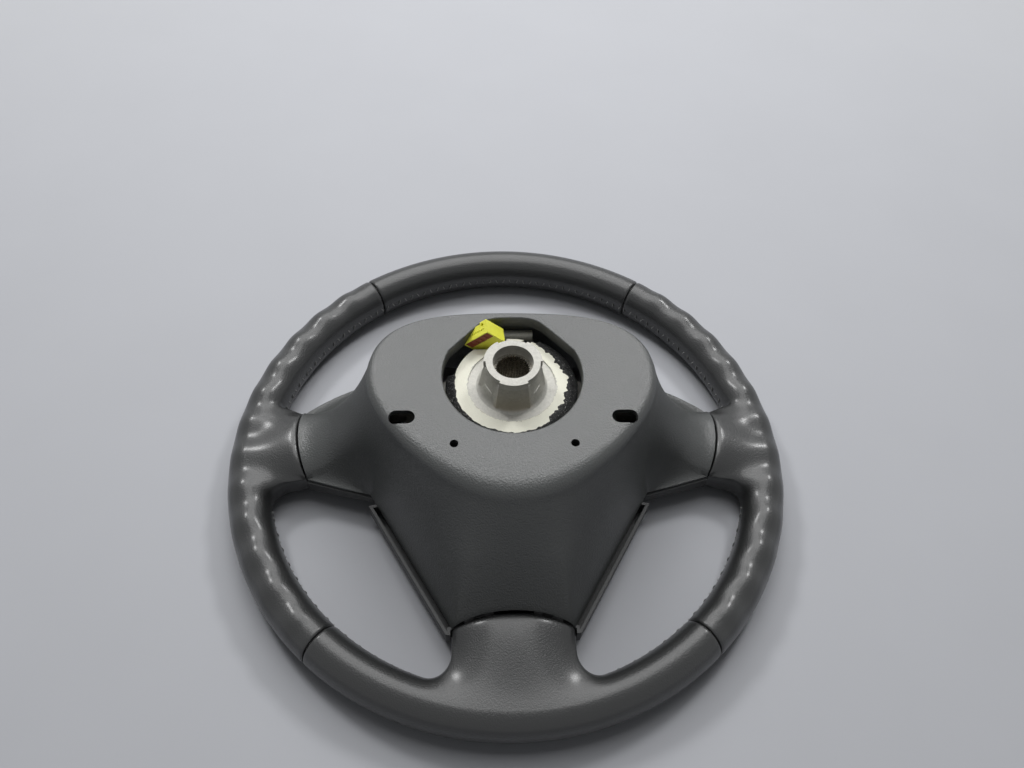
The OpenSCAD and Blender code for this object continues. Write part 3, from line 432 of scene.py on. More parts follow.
class Paint(Tree):
    """One material: a Principled shader and the nodes that feed it."""

    def __init__(self, name, **fixed):
        self.material = bpy.data.materials.new(name)
        self.material.use_nodes = True
        super().__init__(self.material.node_tree)
        self.tree.nodes.clear()
        self.shader = self.node("ShaderNodeBsdfPrincipled")
        self.node("ShaderNodeOutputMaterial", {}, {"Surface": self.shader.outputs[0]})
        self.place = self.node("ShaderNodeTexCoord").outputs["Object"]
        for key, value in fixed.items():
            self.put(key.replace("_", " "), value)

    def put(self, name, value):
        """Sets or links a socket of the shader."""
        self.feed(self.shader.inputs[name], value)

    def noise(self, per_mm, detail=2.0, rough=0.55):
        """Cloudy noise with that many blobs to the millimetre."""
        node = self.node("ShaderNodeTexNoise", {}, {
            "Vector": self.place, "Scale": per_mm / MM, "Detail": detail, "Roughness": rough})
        return Value(self, node.outputs["Fac"])

    def cells(self, per_mm, smoothness=0.0):
        """Distances of a cell pattern with that many cells to the millimetre."""
        inputs = {"Vector": self.place, "Scale": per_mm / MM}
        if smoothness:
            inputs["Smoothness"] = smoothness
        feature = "SMOOTH_F1" if smoothness else "F1"
        node = self.node("ShaderNodeTexVoronoi", {"feature": feature}, inputs)
        return Value(self, node.outputs["Distance"])

    def axis(self, index):
        """One coordinate of the surface in metres."""
        node = self.node("ShaderNodeSeparateXYZ", {}, {0: self.place})
        return Value(self, node.outputs[index])

    def radius(self):
        """Distance from the steering axis in metres."""
        flat = self.node(
            "ShaderNodeVectorMath", {"operation": "MULTIPLY"}, {0: self.place, 1: (1, 1, 0)})
        length = self.node("ShaderNodeVectorMath", {"operation": "LENGTH"}, {0: flat.outputs[0]})
        return Value(self, length.outputs["Value"])

    def blend(self, factor, a, b):
        """Colour a where the factor is 0 and b where it is 1."""
        node = self.node("ShaderNodeMix", {"data_type": "RGBA"}, {0: factor, 6: a, 7: b})
        return node.outputs[2]

    def tones(self, factor, base, dark, light):
        """The base colour times dark where the factor is 0 and times light where it is 1."""
        return self.blend(factor, tint(base, dark), tint(base, light))

    def finish(self, shade, rough, height, depth_mm):
        """The material, with its colour, roughness and relief from a height between 0 and 1."""
        node = self.node("ShaderNodeBump", {}, {
            "Height": height, "Distance": depth_mm * MM, "Strength": 1.0})
        for name, value in (("Base Color", shade), ("Roughness", rough), ("Normal", node.outputs[0])):
            self.put(name, value)
        return self.material


def tint(base, k):
    """The base colour made lighter or darker."""
    return tuple(min(1.0, c * k) for c in base)


def leather_finish(base):
    """Dyed leather: pebbled grain with fine creases, worn a little shinier in patches."""
    paint = Paint("dyed_leather", IOR=1.4, Coat_Weight=0.6, Coat_Roughness=0.24)
    grain = paint.cells(1.1, 0.3)
    fine = paint.noise(2.6, 3.0)
    patch = paint.noise(0.02)
    worn = patch.step(0.38, 0.68)
    shade = paint.tones((0.35 + 0.9 * fine) * 0.6 + 0.35 * patch, base, 0.72, 1.25)
    return paint.finish(shade, 0.39 - 0.05 * worn + 0.08 * fine, (1 - grain) * 0.75 + 0.3 * fine, 0.22)


def moulded_finish(name, base, cell=0.9, rough=0.37, depth=0.24):
    """Moulded plastic with a spark-eroded grain of two sizes."""
    paint = Paint(name, IOR=1.6)
    grain = paint.cells(cell, 0.5)
    fine = paint.cells(cell * 2.3, 0.5)
    cloud = paint.noise(0.03)
    shade = paint.tones(cloud * 0.7 + 0.3 * grain, base, 0.85, 1.15)
    rough = rough + 0.10 * (grain - 0.5) + 0.05 * (cloud - 0.5)
    return paint.finish(shade, rough, (1 - grain) * 0.6 + 0.4 * (1 - fine), depth)


def cast_finish(base):
    """Die-cast alloy: a dull skin, brown in front of the boss, and chalk on the flange.

    The chalk lies outside the dish, with a ragged inner edge. The arms are painted near black inside
    the rim, as painted shade where they show through the seams' gaps.
    """
    paint = Paint("cast_alloy")
    skin = paint.noise(0.55, 4.0, 0.6)
    stain = paint.noise(0.09, 3.0, 0.6)
    pits = paint.noise(1.6, 5.0, 0.7)
    r, z, y = paint.radius(), paint.axis(2), paint.axis(1)
    edge = r + 0.0040 * (paint.noise(0.30, 5.0, 0.75) - 0.5)
    ring = edge.step(0.0270, 0.0276) * z.step(0.0930, 0.0948)
    # Painted shade: near black on the arms beyond about 115 mm, where they show through the seams'
    # gaps
    painted_seam_shade = r.step(0.1130, 0.1180)
    front = (0 - y).step(0.0140, 0.0185) * z.step(0.0948, 0.0962) * (1 - z.step(0.1120, 0.1130))
    mottle = (skin * 0.6 + 0.4 * pits).step(0.30, 0.70)
    metal = paint.tones(stain * 0.4 + 0.6 * mottle, base, 0.55, 0.95)
    metal = paint.blend(front * 0.6, metal, (0.42, 0.36, 0.25))
    chalk = paint.blend(pits * 0.6 + 0.4 * stain, (0.70, 0.69, 0.58), (0.96, 0.95, 0.82))
    shown = paint.blend(ring, metal, chalk)
    paint.put("Metallic", (0.25 - 0.25 * ring) * (1 - painted_seam_shade))
    rough = 0.55 + 0.25 * ring + 0.16 * (skin - 0.5) + 0.10 * (pits - 0.5)
    height = skin * 0.5 + pits * (0.4 + 0.6 * ring)
    # The painted seam shade puts near black over the metal out there
    return paint.finish(paint.blend(painted_seam_shade, shown, (0.016, 0.016, 0.016)), rough, height, 0.22)


def metal_finish(name, base, rough):
    """Plain worked metal with faint scratches and stains."""
    paint = Paint(name, Metallic=1.0)
    scratch = paint.noise(1.1, 4.0, 0.7)
    shade = paint.tones(paint.noise(0.12, 3.0), base, 0.8, 1.08)
    return paint.finish(shade, rough + 0.2 * (scratch - 0.5), scratch, 0.03)


def plug_finish(name, base, rough=0.36):
    """Smooth moulded plastic, a little cloudy, for the small pieces, and near black as painted shade
    on the cover's lip, inside and screw posts.
    """
    paint = Paint(name, IOR=1.5)
    fine = paint.noise(2.5, 3.0)
    shade = paint.tones(paint.noise(0.25, 3.0), base, 0.88, 1.06)
    return paint.finish(shade, rough + 0.12 * (fine - 0.5), fine, 0.03)


def foam_finish():
    """Rough skin of moulded foam with open pores and stray bright flecks."""
    paint = Paint("foam_skin")
    lumps = paint.noise(0.6, 5.0, 0.65)
    fleck = paint.noise(1.5).step(0.64, 0.68)
    shade = paint.blend(fleck, (0.010, 0.010, 0.010), (0.42, 0.42, 0.40))
    return paint.finish(shade, 0.80 - 0.25 * fleck, lumps * 0.7 + paint.cells(1.3) * 0.5, 0.9)


def thread_finish():
    """Waxed thread, twisted."""
    paint = Paint("waxed_thread")
    twist = paint.noise(4.0)
    shade = paint.blend(twist, (0.13, 0.13, 0.13), (0.29, 0.29, 0.28))
    return paint.finish(shade, 0.6, twist, 0.05)


def woven_finish(name, base):
    """Cloth or woven sleeve: a pattern of cells, lighter and lower at their middles."""
    paint = Paint(name, Sheen_Weight=0.2)
    weave = paint.cells(1.4)
    shade = paint.tones(weave * 0.7 + paint.noise(0.2, 3.0) * 0.4, base, 1.15, 0.7)
    return paint.finish(shade, 0.85, weave, 0.2)


FINISHES = {}


def finish_of(name):
    """The finish of that name. All are made at the first call."""
    if not FINISHES:
        colours = bpy.context.scene.wheel_colours
        FINISHES.update({
            "leather": leather_finish(colours.leather),
            "cover": moulded_finish("moulded_cover", colours.cover),
            "trim": moulded_finish("moulded_trim", colours.trim, 1.6, 0.62, 0.05),
            "pad": moulded_finish("moulded_pad", tint(colours.cover, 0.9), 1.2, 0.42, 0.08),
            "cast": cast_finish(colours.cast),
            # Painted shade: near-black plastic on the cover's lower lip, inside and screw posts, so
            # the seam gaps and screw holes read dark
            "inside": plug_finish("cover_painted_shade", (0.006, 0.006, 0.006), 0.85),
            "steel": metal_finish("machined_steel", (0.46, 0.45, 0.44), 0.36),
            "bore": metal_finish("oiled_steel", (0.36, 0.34, 0.30), 0.26),
            # Painted shade: steel near black, so the screws read dark down their holes
            "shade_dark_steel": metal_finish("steel_darkened_as_shade", (0.035, 0.035, 0.036), 0.5),
            "zinc": metal_finish("zinc_plate", (0.62, 0.63, 0.64), 0.42),
            "wire": metal_finish("drawn_wire", (0.74, 0.74, 0.73), 0.25),
            "brass": metal_finish("brass", (0.72, 0.55, 0.28), 0.35),
            "foam": foam_finish(),
            "thread": thread_finish(),
            "plug": plug_finish("plug_plastic", colours.plug),
            "lock": plug_finish("lock_plastic", (0.30, 0.07, 0.035), 0.5),
            "bush": plug_finish("bush_plastic", (0.66, 0.64, 0.58), 0.45),
            "loom": woven_finish("loom_sleeve", (0.016, 0.016, 0.016)),
            "cushion": woven_finish("cushion_cloth", (0.60, 0.58, 0.50)),
        })
    return FINISHES[name]


# Leather rim

def side_edge(rim_in, u):
    """Inner edge of the right panel at places u from 0 to SIDE_LAST: point, bluntness and seam place
    of each, and the angles at which the edge leaves the free rim.

    It runs round the notch, down the curved seam and round the lower fillet.
    """
    notch_c = fillet_centre(SEAM_TOP, UPPER_EDGE_A, 1, NOTCH_R, rim_in)
    hook_c = fillet_centre(SEAM_FOOT, LOWER_EDGE_A, -1, FILLET_R, rim_in)
    t1, t2, t3 = (np.linspace(0, 1, k) for k in (13, 49, 31))
    places = np.concatenate([t1 * 3, 4 + t2 * 8, 13 + t3 * 5])
    points = np.concatenate([
        arc(notch_c, NOTCH_R, bearing(notch_c), UPPER_EDGE_A - 90, t1),
        bend(SEAM_TOP, SEAM_BEND, SEAM_FOOT, t2),
        arc(hook_c, FILLET_R, LOWER_EDGE_A + 90, bearing(hook_c), t3)])
    blunt = np.interp(u, [0, 3, 4, 12, 13, SIDE_LAST], [0, 0.6, 1, 1, 0.8, 0])
    seam = np.interp(u, [4, 12], [0, 1])
    return along(u, places, points), blunt, seam, bearing(notch_c), bearing(hook_c)


def foot_edge(rim_in, foot_w, u):
    """The same for the bottom panel, at places u from 0 to FOOT_LAST, from its left fillet to its
    right one, and the angle at which the right one leaves the free rim."""
    c = fillet_centre(np.array([foot_w, FOOT_Y]), -90, 1, FOOT_FILLET, rim_in)
    t1, t2 = np.linspace(0, 1, 31), np.linspace(0, 1, 61)
    right = arc(c, FOOT_FILLET, bearing(c), -180, t1)
    x = mix(-foot_w, foot_w, t2)
    places = np.concatenate([t1 * 5, 6 + t2 * 10, FOOT_LAST - t1[::-1] * 5])
    points = np.concatenate([
        right * [-1, 1], np.stack([x, foot_seam(x, foot_w)], -1), right[::-1]])
    blunt = np.interp(u, [0, 5, 6, 16, 17, FOOT_LAST], [0, 0.83, 1, 1, 0.83, 0])
    seam = np.interp(u, [6, 16], [0, 1])
    return along(u, places, points), blunt, seam, bearing(c)


def foot_seam(x, foot_w):
    """Seam across the lower spoke: an arch, FOOT_Y + rise * (1 - (x / w)^2)."""
    return FOOT_Y + FOOT_RISE * (1 - (x / foot_w) ** 2)


def seam_z(t, crown):
    """Height of a spoke's back along its seam: EDGE_Z + crown * (1 - |2t - 1|^2.5)^0.6."""
    return EDGE_Z + crown * np.clip(1 - np.abs(2 * np.asarray(t) - 1) ** 2.5, 0, 1) ** 0.6


def soften(rings, share, ends="edge"):
    """Averages rings with their neighbours, narrowly where share is low and widely where it nears 1.

    The weights are two bells, 3 and 10 rings wide. ends says how numpy pads beyond the last ring.
    """
    reach = 30
    padded = np.pad(rings, ((reach, reach), (0, 0), (0, 0)), ends)
    for width, weight in ((3, np.clip(2 * share, 0, 1)), (10, np.clip(2 * share - 1, 0, 1))):
        k = np.exp(-0.5 * (np.arange(-reach, reach + 1) / width) ** 2)
        mean = sum(w * padded[i:i + len(rings)] for i, w in enumerate(k / k.sum()))
        rings = mix(rings, mean, weight)
    return rings


def leather_rings(a, q, blunt, back, lift, sizes):
    """Sections of a leather panel, one for each rim angle a with its inner end at q.

    A section is an ellipse where the rim is free. Where it reaches along a spoke, its inner half
    follows g^n + h^n = 1 with n growing to 14, between the heights back and SEAM_FRONT_Z. What a
    spoke adds is softened from ring to ring. The finger ridges lift the outer upper side by
    lift * cos(f - RIDGE_F)^3, and a narrow dip runs along the inner seam of the free rim.
    """
    half_w, half_h = sizes.tube_w / 2, sizes.tube_h / 2
    f = np.linspace(0, 360, AROUND, endpoint=False)[None, :]
    c, s = np.cos(np.radians(f)), np.sin(np.radians(f))
    g = np.abs(c)
    out = direction(a)[:, None, :]
    centre = (sizes.inner_r + half_w) * out

    def sections(ends, b):
        n = 2 + 12 * b ** 3
        h = np.sign(s) * np.clip(1 - g ** n, 0, 1) ** (1 / n)
        w = b * ease(g)
        dip = SEAM_DIP * (1 - b) ** 2 * np.exp(-((f - 180) / 3.5) ** 2)
        inner = centre + (ends[:, None, :] - centre) * (g * (1 - dip / half_w))[..., None]
        xy = np.where((c >= 0)[..., None], centre + out * (half_w * c)[..., None], inner)
        middle = mix(half_h, (back[:, None] + SEAM_FRONT_Z) / 2, w)
        half = mix(half_h, (back[:, None] - SEAM_FRONT_Z) / 2, w)
        return at_height(xy, np.where(c >= 0, half_h + half_h * s, middle + half * h))

    free = sections(sizes.inner_r * direction(a), 0 * blunt[:, None])
    added = sections(q, blunt[:, None]) - free
    added = soften(added, np.where(c < 0, 1 - g ** 6, 1)[..., None])
    shift = lift[:, None] * np.clip(np.cos(np.radians(f - RIDGE_F)), 0, None) ** 3
    return free + added + at_height(out * (shift * c * (c >= 0))[..., None], shift * s)


def tuck_ends(rings, centres):
    """Rounds both ends of a panel with the radius r of PANEL_TURN, where it turns in at a cross seam.

    A ring at distance d from the end moves towards its centre by r - sqrt(r^2 - (r - d)^2).
    """
    for order in (slice(None), slice(None, None, -1)):
        ring, centre = rings[order], centres[order]
        d = np.linalg.norm(centre - centre[0], axis=1)
        k = np.clip(PANEL_TURN - d, 0, PANEL_TURN)
        inset = PANEL_TURN - np.sqrt(PANEL_TURN ** 2 - k ** 2)
        near = inset > 0
        away = ring[near] - centre[near, None]
        size = np.linalg.norm(away, axis=2, keepdims=True)
        ring[near] -= away / size * inset[near, None, None]
    return rings


def fine_ends(a0, a1, step, sizes):
    """Angles from a0 to a1 with extra ones within the end's rounding, so that it stays round."""
    near = np.array([0, 0.06, 0.2, 0.5, 1.0]) * PANEL_TURN / sizes.middle_r
    near = np.degrees(near) * np.sign(a1 - a0)
    count = max(3, int(abs(a1 - a0) / step))
    return np.concatenate([a0 + near, np.linspace(a0 + 2 * near[-1], a1, count, endpoint=False)])


def ridge(a, sizes):
    """Finger ridges: half their depth times a cosine of the angle, faded out near the seams."""
    wave = np.cos(np.radians(360 * (a - sizes.first) / sizes.pitch))
    fade = ease((90 - sizes.top_seam - a) / 7) * ease((a + 90 - sizes.bottom_seam) / 5)
    return sizes.depth / 2 * wave * fade


def half_gap(sizes):
    """Half the open groove between two panels, in degrees."""
    return math.degrees(PANEL_GAP / 2 / sizes.middle_r)


def panel(before, between, after, edge, crown, sizes, ridged=False):
    """Rings of a leather panel.

    The rim is free at the angles before and after. Between them the inner edge, given as points,
    bluntness and seam place, reaches along a spoke whose back is arched by crown.
    """
    q, blunt, seam = edge
    free = len(before), len(after)
    a = np.concatenate([before, between, after])
    q = np.concatenate([sizes.inner_r * direction(before), q, sizes.inner_r * direction(after)])
    back = np.pad(seam_z(seam, crown), free)
    lift = ridge(a, sizes) if ridged else 0 * a
    rings = leather_rings(a, q, np.pad(blunt, free), back, lift, sizes)
    return tuck_ends(rings, at_height(sizes.middle_r * direction(a), sizes.tube_h / 2))


def side_panel(sizes):
    """Rings of the right leather panel."""
    u = np.linspace(0, SIDE_LAST, 8 * SIDE_LAST + 1)
    *edge, a_top, a_low = side_edge(sizes.inner_r, u)
    upper = fine_ends(90 - sizes.top_seam - half_gap(sizes), a_top, 0.5, sizes)
    lower = fine_ends(sizes.bottom_seam - 90 + half_gap(sizes), a_low, 0.5, sizes)[::-1]
    return panel(upper, mix(a_top, a_low, u / SIDE_LAST), lower, edge, SEAM_CROWN, sizes, True)


def bottom_panel(sizes, foot_w):
    """Rings of the bottom leather panel, from its left seam to its right one."""
    u = np.linspace(0, FOOT_LAST, 8 * FOOT_LAST + 1)
    *edge, a_right = foot_edge(sizes.inner_r, foot_w, u)
    right = fine_ends(-90 + sizes.bottom_seam - half_gap(sizes), a_right, 0.6, sizes)[::-1]
    between = mix(-180 - a_right, a_right, u / FOOT_LAST)
    return panel(-180 - right[::-1], between, right, edge, FOOT_CROWN, sizes)


def top_panel(sizes):
    """Rings of the top leather panel, which has no spoke."""
    right = fine_ends(90 - sizes.top_seam + half_gap(sizes), 90, 0.8, sizes)
    top = np.array([90.0])
    edge = sizes.inner_r * direction(top), 0 * top, 0 * top
    return panel(right, top, 180 - right[::-1], edge, 0, sizes)


def stitch_row(angles, sizes, name):
    """Cross stitches over the inner seam: each is a bowed capsule, thin at its ends.

    Along it t runs from -1 to 1. Its middle line stands out by bow * (1 - t^2), and its radius is
    r * sqrt(1 - 0.8 t^4). Stitches lean to one side and the other in turn.
    """
    reach, bow, r, lean = 1.9, 0.45, 0.36, 0.75
    half_w, half_h = sizes.tube_w / 2, sizes.tube_h / 2
    t = np.linspace(-1, 1, 7)[:, None]
    turn = np.radians(np.arange(0, 360, 60))
    radius = r * np.sqrt(1 - 0.8 * t ** 4)
    wall = half_w * (1 - np.sqrt(np.clip(1 - (reach * t / half_h) ** 2, 0, 1)))
    deep = -0.15 + bow * (1 - t ** 2) - wall + radius * np.sin(turn)
    side = np.where(np.arange(len(angles)) % 2, lean, -lean)[:, None, None] * t
    side = side + radius * np.cos(turn)
    out, aside = direction(angles)[:, None, None], direction(angles + 90)[:, None, None]
    xy = out * (sizes.inner_r - deep)[..., None] + aside * side[..., None]
    m, n = radius.size, turn.size
    faces = []
    for start in range(0, len(angles) * m * n, m * n):
        faces += list(grid_faces(m, n, False, True, start))
        faces.append(list(range(start + n - 1, start - 1, -1)))
        faces.append(list(range(start + (m - 1) * n, start + m * n)))
    return mesh_from(name, at_height(xy, half_h + reach * t), faces)


# Rear cover

def cover_edge(sizes):
    """Lower edge of the cover, from 12 o'clock round by the right side: a power curve along the top,
    the side seam, two straight stretches and the foot, and then the same mirrored."""
    def places(n):
        return np.arange(0, n * COVER_FINER) / (n * COVER_FINER)

    x = SEAM_TOP[0] * places(9) ** 0.75
    y = mix(COVER_TOP_Y, SEAM_TOP[1], (x / SEAM_TOP[0]) ** TOP_POWER)
    top = at_height(np.stack([x, y], 1), EDGE_Z)
    t = places(8)
    side = at_height(bend(SEAM_TOP, SEAM_BEND, SEAM_FOOT, t) - [sizes.gap, 0], seam_z(t, SEAM_CROWN))
    wing = at_height(mix(SEAM_FOOT - [sizes.gap, 0], CORNER, places(5)[:, None]), EDGE_Z)
    vee_end = np.array([sizes.foot_w, FOOT_Y + sizes.gap])
    vee = at_height(mix(CORNER, vee_end, places(9)[:, None]), EDGE_Z)
    x = sizes.foot_w * (1 - np.append(places(5), 1))
    foot = np.stack([x, foot_seam(x, sizes.foot_w) + sizes.gap,
                     seam_z(0.5 + x / sizes.foot_w / 2, FOOT_CROWN)], 1)
    right = np.concatenate([top, side, wing, vee, foot])
    return np.concatenate([right, (right * [-1, 1, 1])[-2:0:-1]])


def back_reach(a, sizes):
    """Reach of the flat back at angle a: a superellipse whose power and half height differ above
    and below its centre."""
    s, c = np.sin(np.radians(a)), np.cos(np.radians(a))
    n = 2.22 + 0.48 * s / np.sqrt(s * s + 0.04)
    b = np.where(s > 0, BACK_UP, BACK_DOWN)
    return ((np.abs(c) / sizes.back_w) ** n + (np.abs(s) / b) ** n) ** (-1 / n)


def opening_reach(a, sizes):
    """Reach of the opening at angle a: a circle below, and above it the soft least of a flat top
    and a chamfer on each side."""
    s = 90 - np.abs(90 - np.where(a < -90, a + 360, a))
    c = sizes.opening_r * math.cos(math.radians(17.0))
    top = np.clip(np.sin(np.radians(s)), 1e-6, None) / sizes.opening_top
    flats = (top ** 16 + (np.cos(np.radians(s - 41.4)) / c) ** 16) ** (-1 / 16)
    return np.where(s < 24.4, sizes.opening_r, flats)


def cover_net(sizes):
    """Closed net of the rear cover: one column for each point of its lower edge.

    Outside, a column falls from the flat back's edge, rounded by 2 mm at the sides, 6 above and 9
    below, to the lower edge as z = edge + fall * (1 - t)^k, straight over the foot (k = 1) and
    hollow on the wings. Inside, it returns one wall away and ends in the opening's collar.
    """
    e = cover_edge(sizes)
    p = e[:, :2] - BACK_C
    a = bearing(p)
    u = p / np.linalg.norm(p, axis=1)[:, None]
    s = np.sin(np.radians(a))
    mirrored = bearing(np.stack([np.abs(p[:, 0]), p[:, 1]], 1))
    reach, far = back_reach(a, sizes), np.linalg.norm(p, axis=1)
    fall = COVER_Z - e[:, 2]
    # How far a column stands on a wing
    side = ease((mirrored + 30) / 14) * ease((50 - mirrored) / 25)
    k = 1 + 1.15 * side
    round_r = np.where(s > 0, mix(6, 2, ease(s * 1.6)), mix(6, 9, ease(-s * 1.2)))
    first = round_r / np.hypot(far - reach, k * fall)
    hub_a = bearing(e[:, :2])
    hole, h = opening_reach(hub_a, sizes), direction(hub_a)

    def skirt(t):
        return np.stack([mix(reach, far, t), e[:, 2] + fall * np.clip(1 - t, 0, 1) ** k], 1)

    def under(t, depth=sizes.wall):
        slope = np.stack([far - reach, -k * fall * np.clip(1 - t, 0.02, 1) ** (k - 1)], 1)
        slope /= np.linalg.norm(slope, axis=1)[:, None]
        return skirt(t) + depth * np.stack([slope[:, 1], -slope[:, 0]], 1)

    def at_hole(r, z):
        return at_height(h * r[:, None], z)

    # Rounded edge and skirt
    knee = [np.stack([r, 0 * reach + COVER_Z], 1) for r in (reach - round_r, reach)]
    rows = [bend(*knee, skirt(first), t) for t in np.linspace(0, 1, 10)]
    down = np.linspace(0, 1, 22)[1:]
    rows += [skirt(mix(first, 0.985, t)) for t in down]
    # Lower lip, and the inside up to the flat back
    rows += [under(0.996, 0.12), under(1.0, 0.5)]
    rows += [np.stack([far - sizes.wall * (1.15 - 1.14 * side), e[:, 2] - sizes.wall * side], 1)]
    rows += [under(0.75), under(0.45), under(np.maximum(first, 0.12))]
    rows += [np.stack([reach - round_r * 0.55 - sizes.wall * 0.35,
                       COVER_Z - sizes.wall - round_r * 0.12], 1)]
    body = [at_height(BACK_C + u * r[:, :1], r[:, 1]) for r in rows]
    # The corners of the lower edge fade out up the skirt
    inside = [0, 0, 0, 0.24, 0.52, 0.8, 0.3]
    share = np.concatenate([np.linspace(0, 0.95, 10), 0.95 * (1 - down), inside])
    body = list(soften(np.stack(body, 1), share[None, :, None], "wrap").transpose(1, 0, 2))
    # Collar round the opening, its edge turned with a radius of 1 mm
    turned = [at_hole(hole + (1 - math.sin(b)), COVER_Z - (1 - math.cos(b)))
              for b in np.radians(np.linspace(90, 0, 5))]
    wall = np.minimum(
        np.linalg.norm(BACK_C + under(first)[:, :1] * u, axis=1),
        np.linalg.norm(BACK_C + (reach - round_r)[:, None] * u, axis=1) + 20) - 1
    lip_r = np.minimum(hole + 2, wall)
    low = COVER_Z - sizes.collar
    end = [at_hole(lip_r, COVER_Z - sizes.wall), at_hole(lip_r, low), at_hole(hole, low)]
    return np.stack([at_hole(hole, COVER_Z - sizes.collar * 0.6), *turned, *body, *end], 1)


def cutter(outline):
    """A prism to cut the cover's back with, from a closed plane outline."""
    n = len(outline)
    points = [at_height(outline, COVER_Z + z) for z in (-6, 3)]
    faces = [[i, (i + 1) % n, n + (i + 1) % n, n + i] for i in range(n)]
    faces += [list(range(n))[::-1], list(range(n, 2 * n))]
    return add_object("cutter", mesh_from("cutter", np.concatenate(points), faces))


def stadium(centre, length, width):
    """Outline of an oval slot: two half circles joined by straight sides."""
    half = (length - width) / 2
    right = direction(np.linspace(-90, 90, 12)) * width / 2 + [half, 0]
    return np.concatenate([right, -right]) + centre


def cut(piece, cutters):
    """Cuts closed prisms out of a piece, for good, and removes them."""
    for tool in cutters:
        knife = piece.modifiers.new("cut", "BOOLEAN")
        knife.operation = "DIFFERENCE"
        knife.solver = "EXACT"
        knife.object = tool
    graph = bpy.context.evaluated_depsgraph_get()
    mesh = bpy.data.meshes.new_from_object(piece.evaluated_get(graph))
    piece.modifiers.clear()
    old, piece.data = piece.data, mesh
    # Removing a cutter's mesh takes the cutter with it
    for mesh in [old] + [tool.data for tool in cutters]:
        bpy.data.meshes.remove(mesh)


# Soft pieces

def foam_ring():
    """Sections of the foam ring round the flange, from -192 to 63 degrees.

    Its inner edge creeps over the flange, most of all on the right, ragged by a sum of sines.
    """
    low, high = node_box("hub_foam_ring")
    inner, outer, foot, top = FLANGE_R + 0.3, high[0], low[2], high[2]
    angles = np.linspace(-192, 63, 420)
    rag = sum(k * np.sin(np.radians(n * angles + 50 * n))
              for n, k in ((5, 0.5), (11, 0.45), (23, 0.35), (41, 0.3), (67, 0.2)))
    right = ease((75 - np.abs(angles + 5)) / 40)
    creep = np.clip(0.5 + 0.5 * rag + right * (1.7 + 1.1 * rag), 0.05, 5)
    lump = 0.35 * np.sin(np.radians(37 * angles)) + 0.3 * np.sin(np.radians(53 * angles + 80))
    crest = FLANGE_Z + 0.4 + 0.15 * lump
    section = [
        (inner, foot), (outer, foot), (outer, top - 2.3), (outer - 1.6, top - 0.8 + 0.5 * lump),
        (outer - 3, top - 0.3 + 0.6 * lump), (inner + 1.2, top + 0.2 + 0.5 * lump), (inner, crest),
        (FLANGE_R - creep * 0.6, crest), (FLANGE_R - creep, FLANGE_Z + 0.22),
        (FLANGE_R - creep - 0.1, FLANGE_Z + 0.02), (inner - 0.1, FLANGE_Z + 0.02)]
    ring = [at_height(direction(angles) * (0 * angles + r)[:, None], z) for r, z in section]
    return np.stack(ring, 1)


def folded_cushion():
    """Rings of the folded cushion, from the middle of its front to the bottom of its well.

    The outline is the frame solid's, and its sides bulge between the folds as |sin|.
    """
    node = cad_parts["airbag_cushion"].data
    points = np.array([v.co for v in node.vertices]) / MM
    low, high = points[:, 2].min(), points[:, 2].max()
    rim = points[points[:, 2] < low + 0.01, :2]
    rim = rim[np.argsort(bearing(rim))]
    # Points along each straight side, because a reach between two corners isn't their mean
    t = np.linspace(0, 1, 20, endpoint=False)[None, :, None]
    rim = mix(rim[:, None], np.roll(rim, -1, 0)[:, None], t).reshape(-1, 2)
    a = np.linspace(-180, 180, 144, endpoint=False)
    reach = np.interp(a, bearing(rim), np.linalg.norm(rim, axis=1), period=360)
    upper = points[points[:, 2] > high - 0.01, :2]
    ring_r = np.linalg.norm(upper, axis=1).min()
    inside = np.linalg.norm(points[:, :2], axis=1)
    well_r = inside[inside > 5].min()
    folds = 5
    rings = [(reach * k, low + 2.2 * k ** 6) for k in (0.02, 0.3, 0.6, 0.8, 0.92, 0.98)]
    for t in np.linspace(0.02, 0.98, folds * 8 + 1):
        bulge = 2.2 * np.abs(np.sin(math.pi * folds * t))
        rings.append((reach - 2.6 + bulge, mix(low + 2.4, high - 0.6, t)))
    rings += [(reach - 4, high - 0.3), (ring_r + 1.5, high - 0.3), (ring_r + 0.6, high - 2.4),
              (well_r + 1.2, high - 2.8), (well_r + 0.6, high - 4), (well_r + 0.6, low + 3.8),
              (1, low + 3.4)]
    return np.stack([at_height(direction(a) * (0 * a + r)[:, None], z) for r, z in rings])


# Operators

class WHEEL_OT_leather(Operator):
    """Leather panels of the rim, with finger ridges, spoke ends and turned-in cross seams"""

    bl_idname = "wheel.leather"
    bl_label = "Leather panels"

    def execute(self, context):
        sizes, cover = context.scene.wheel_rim, context.scene.wheel_cover
        right = side_panel(sizes)
        panels = {
            "leather_right": right, "leather_left": right * [-1, 1, 1],
            "leather_top": top_panel(sizes), "leather_bottom": bottom_panel(sizes, cover.foot_w)}
        for node, rings in panels.items():
            skin(node + "_skin", rings, 50, "leather", "leather", "wheel", (node,))
        return {"FINISHED"}


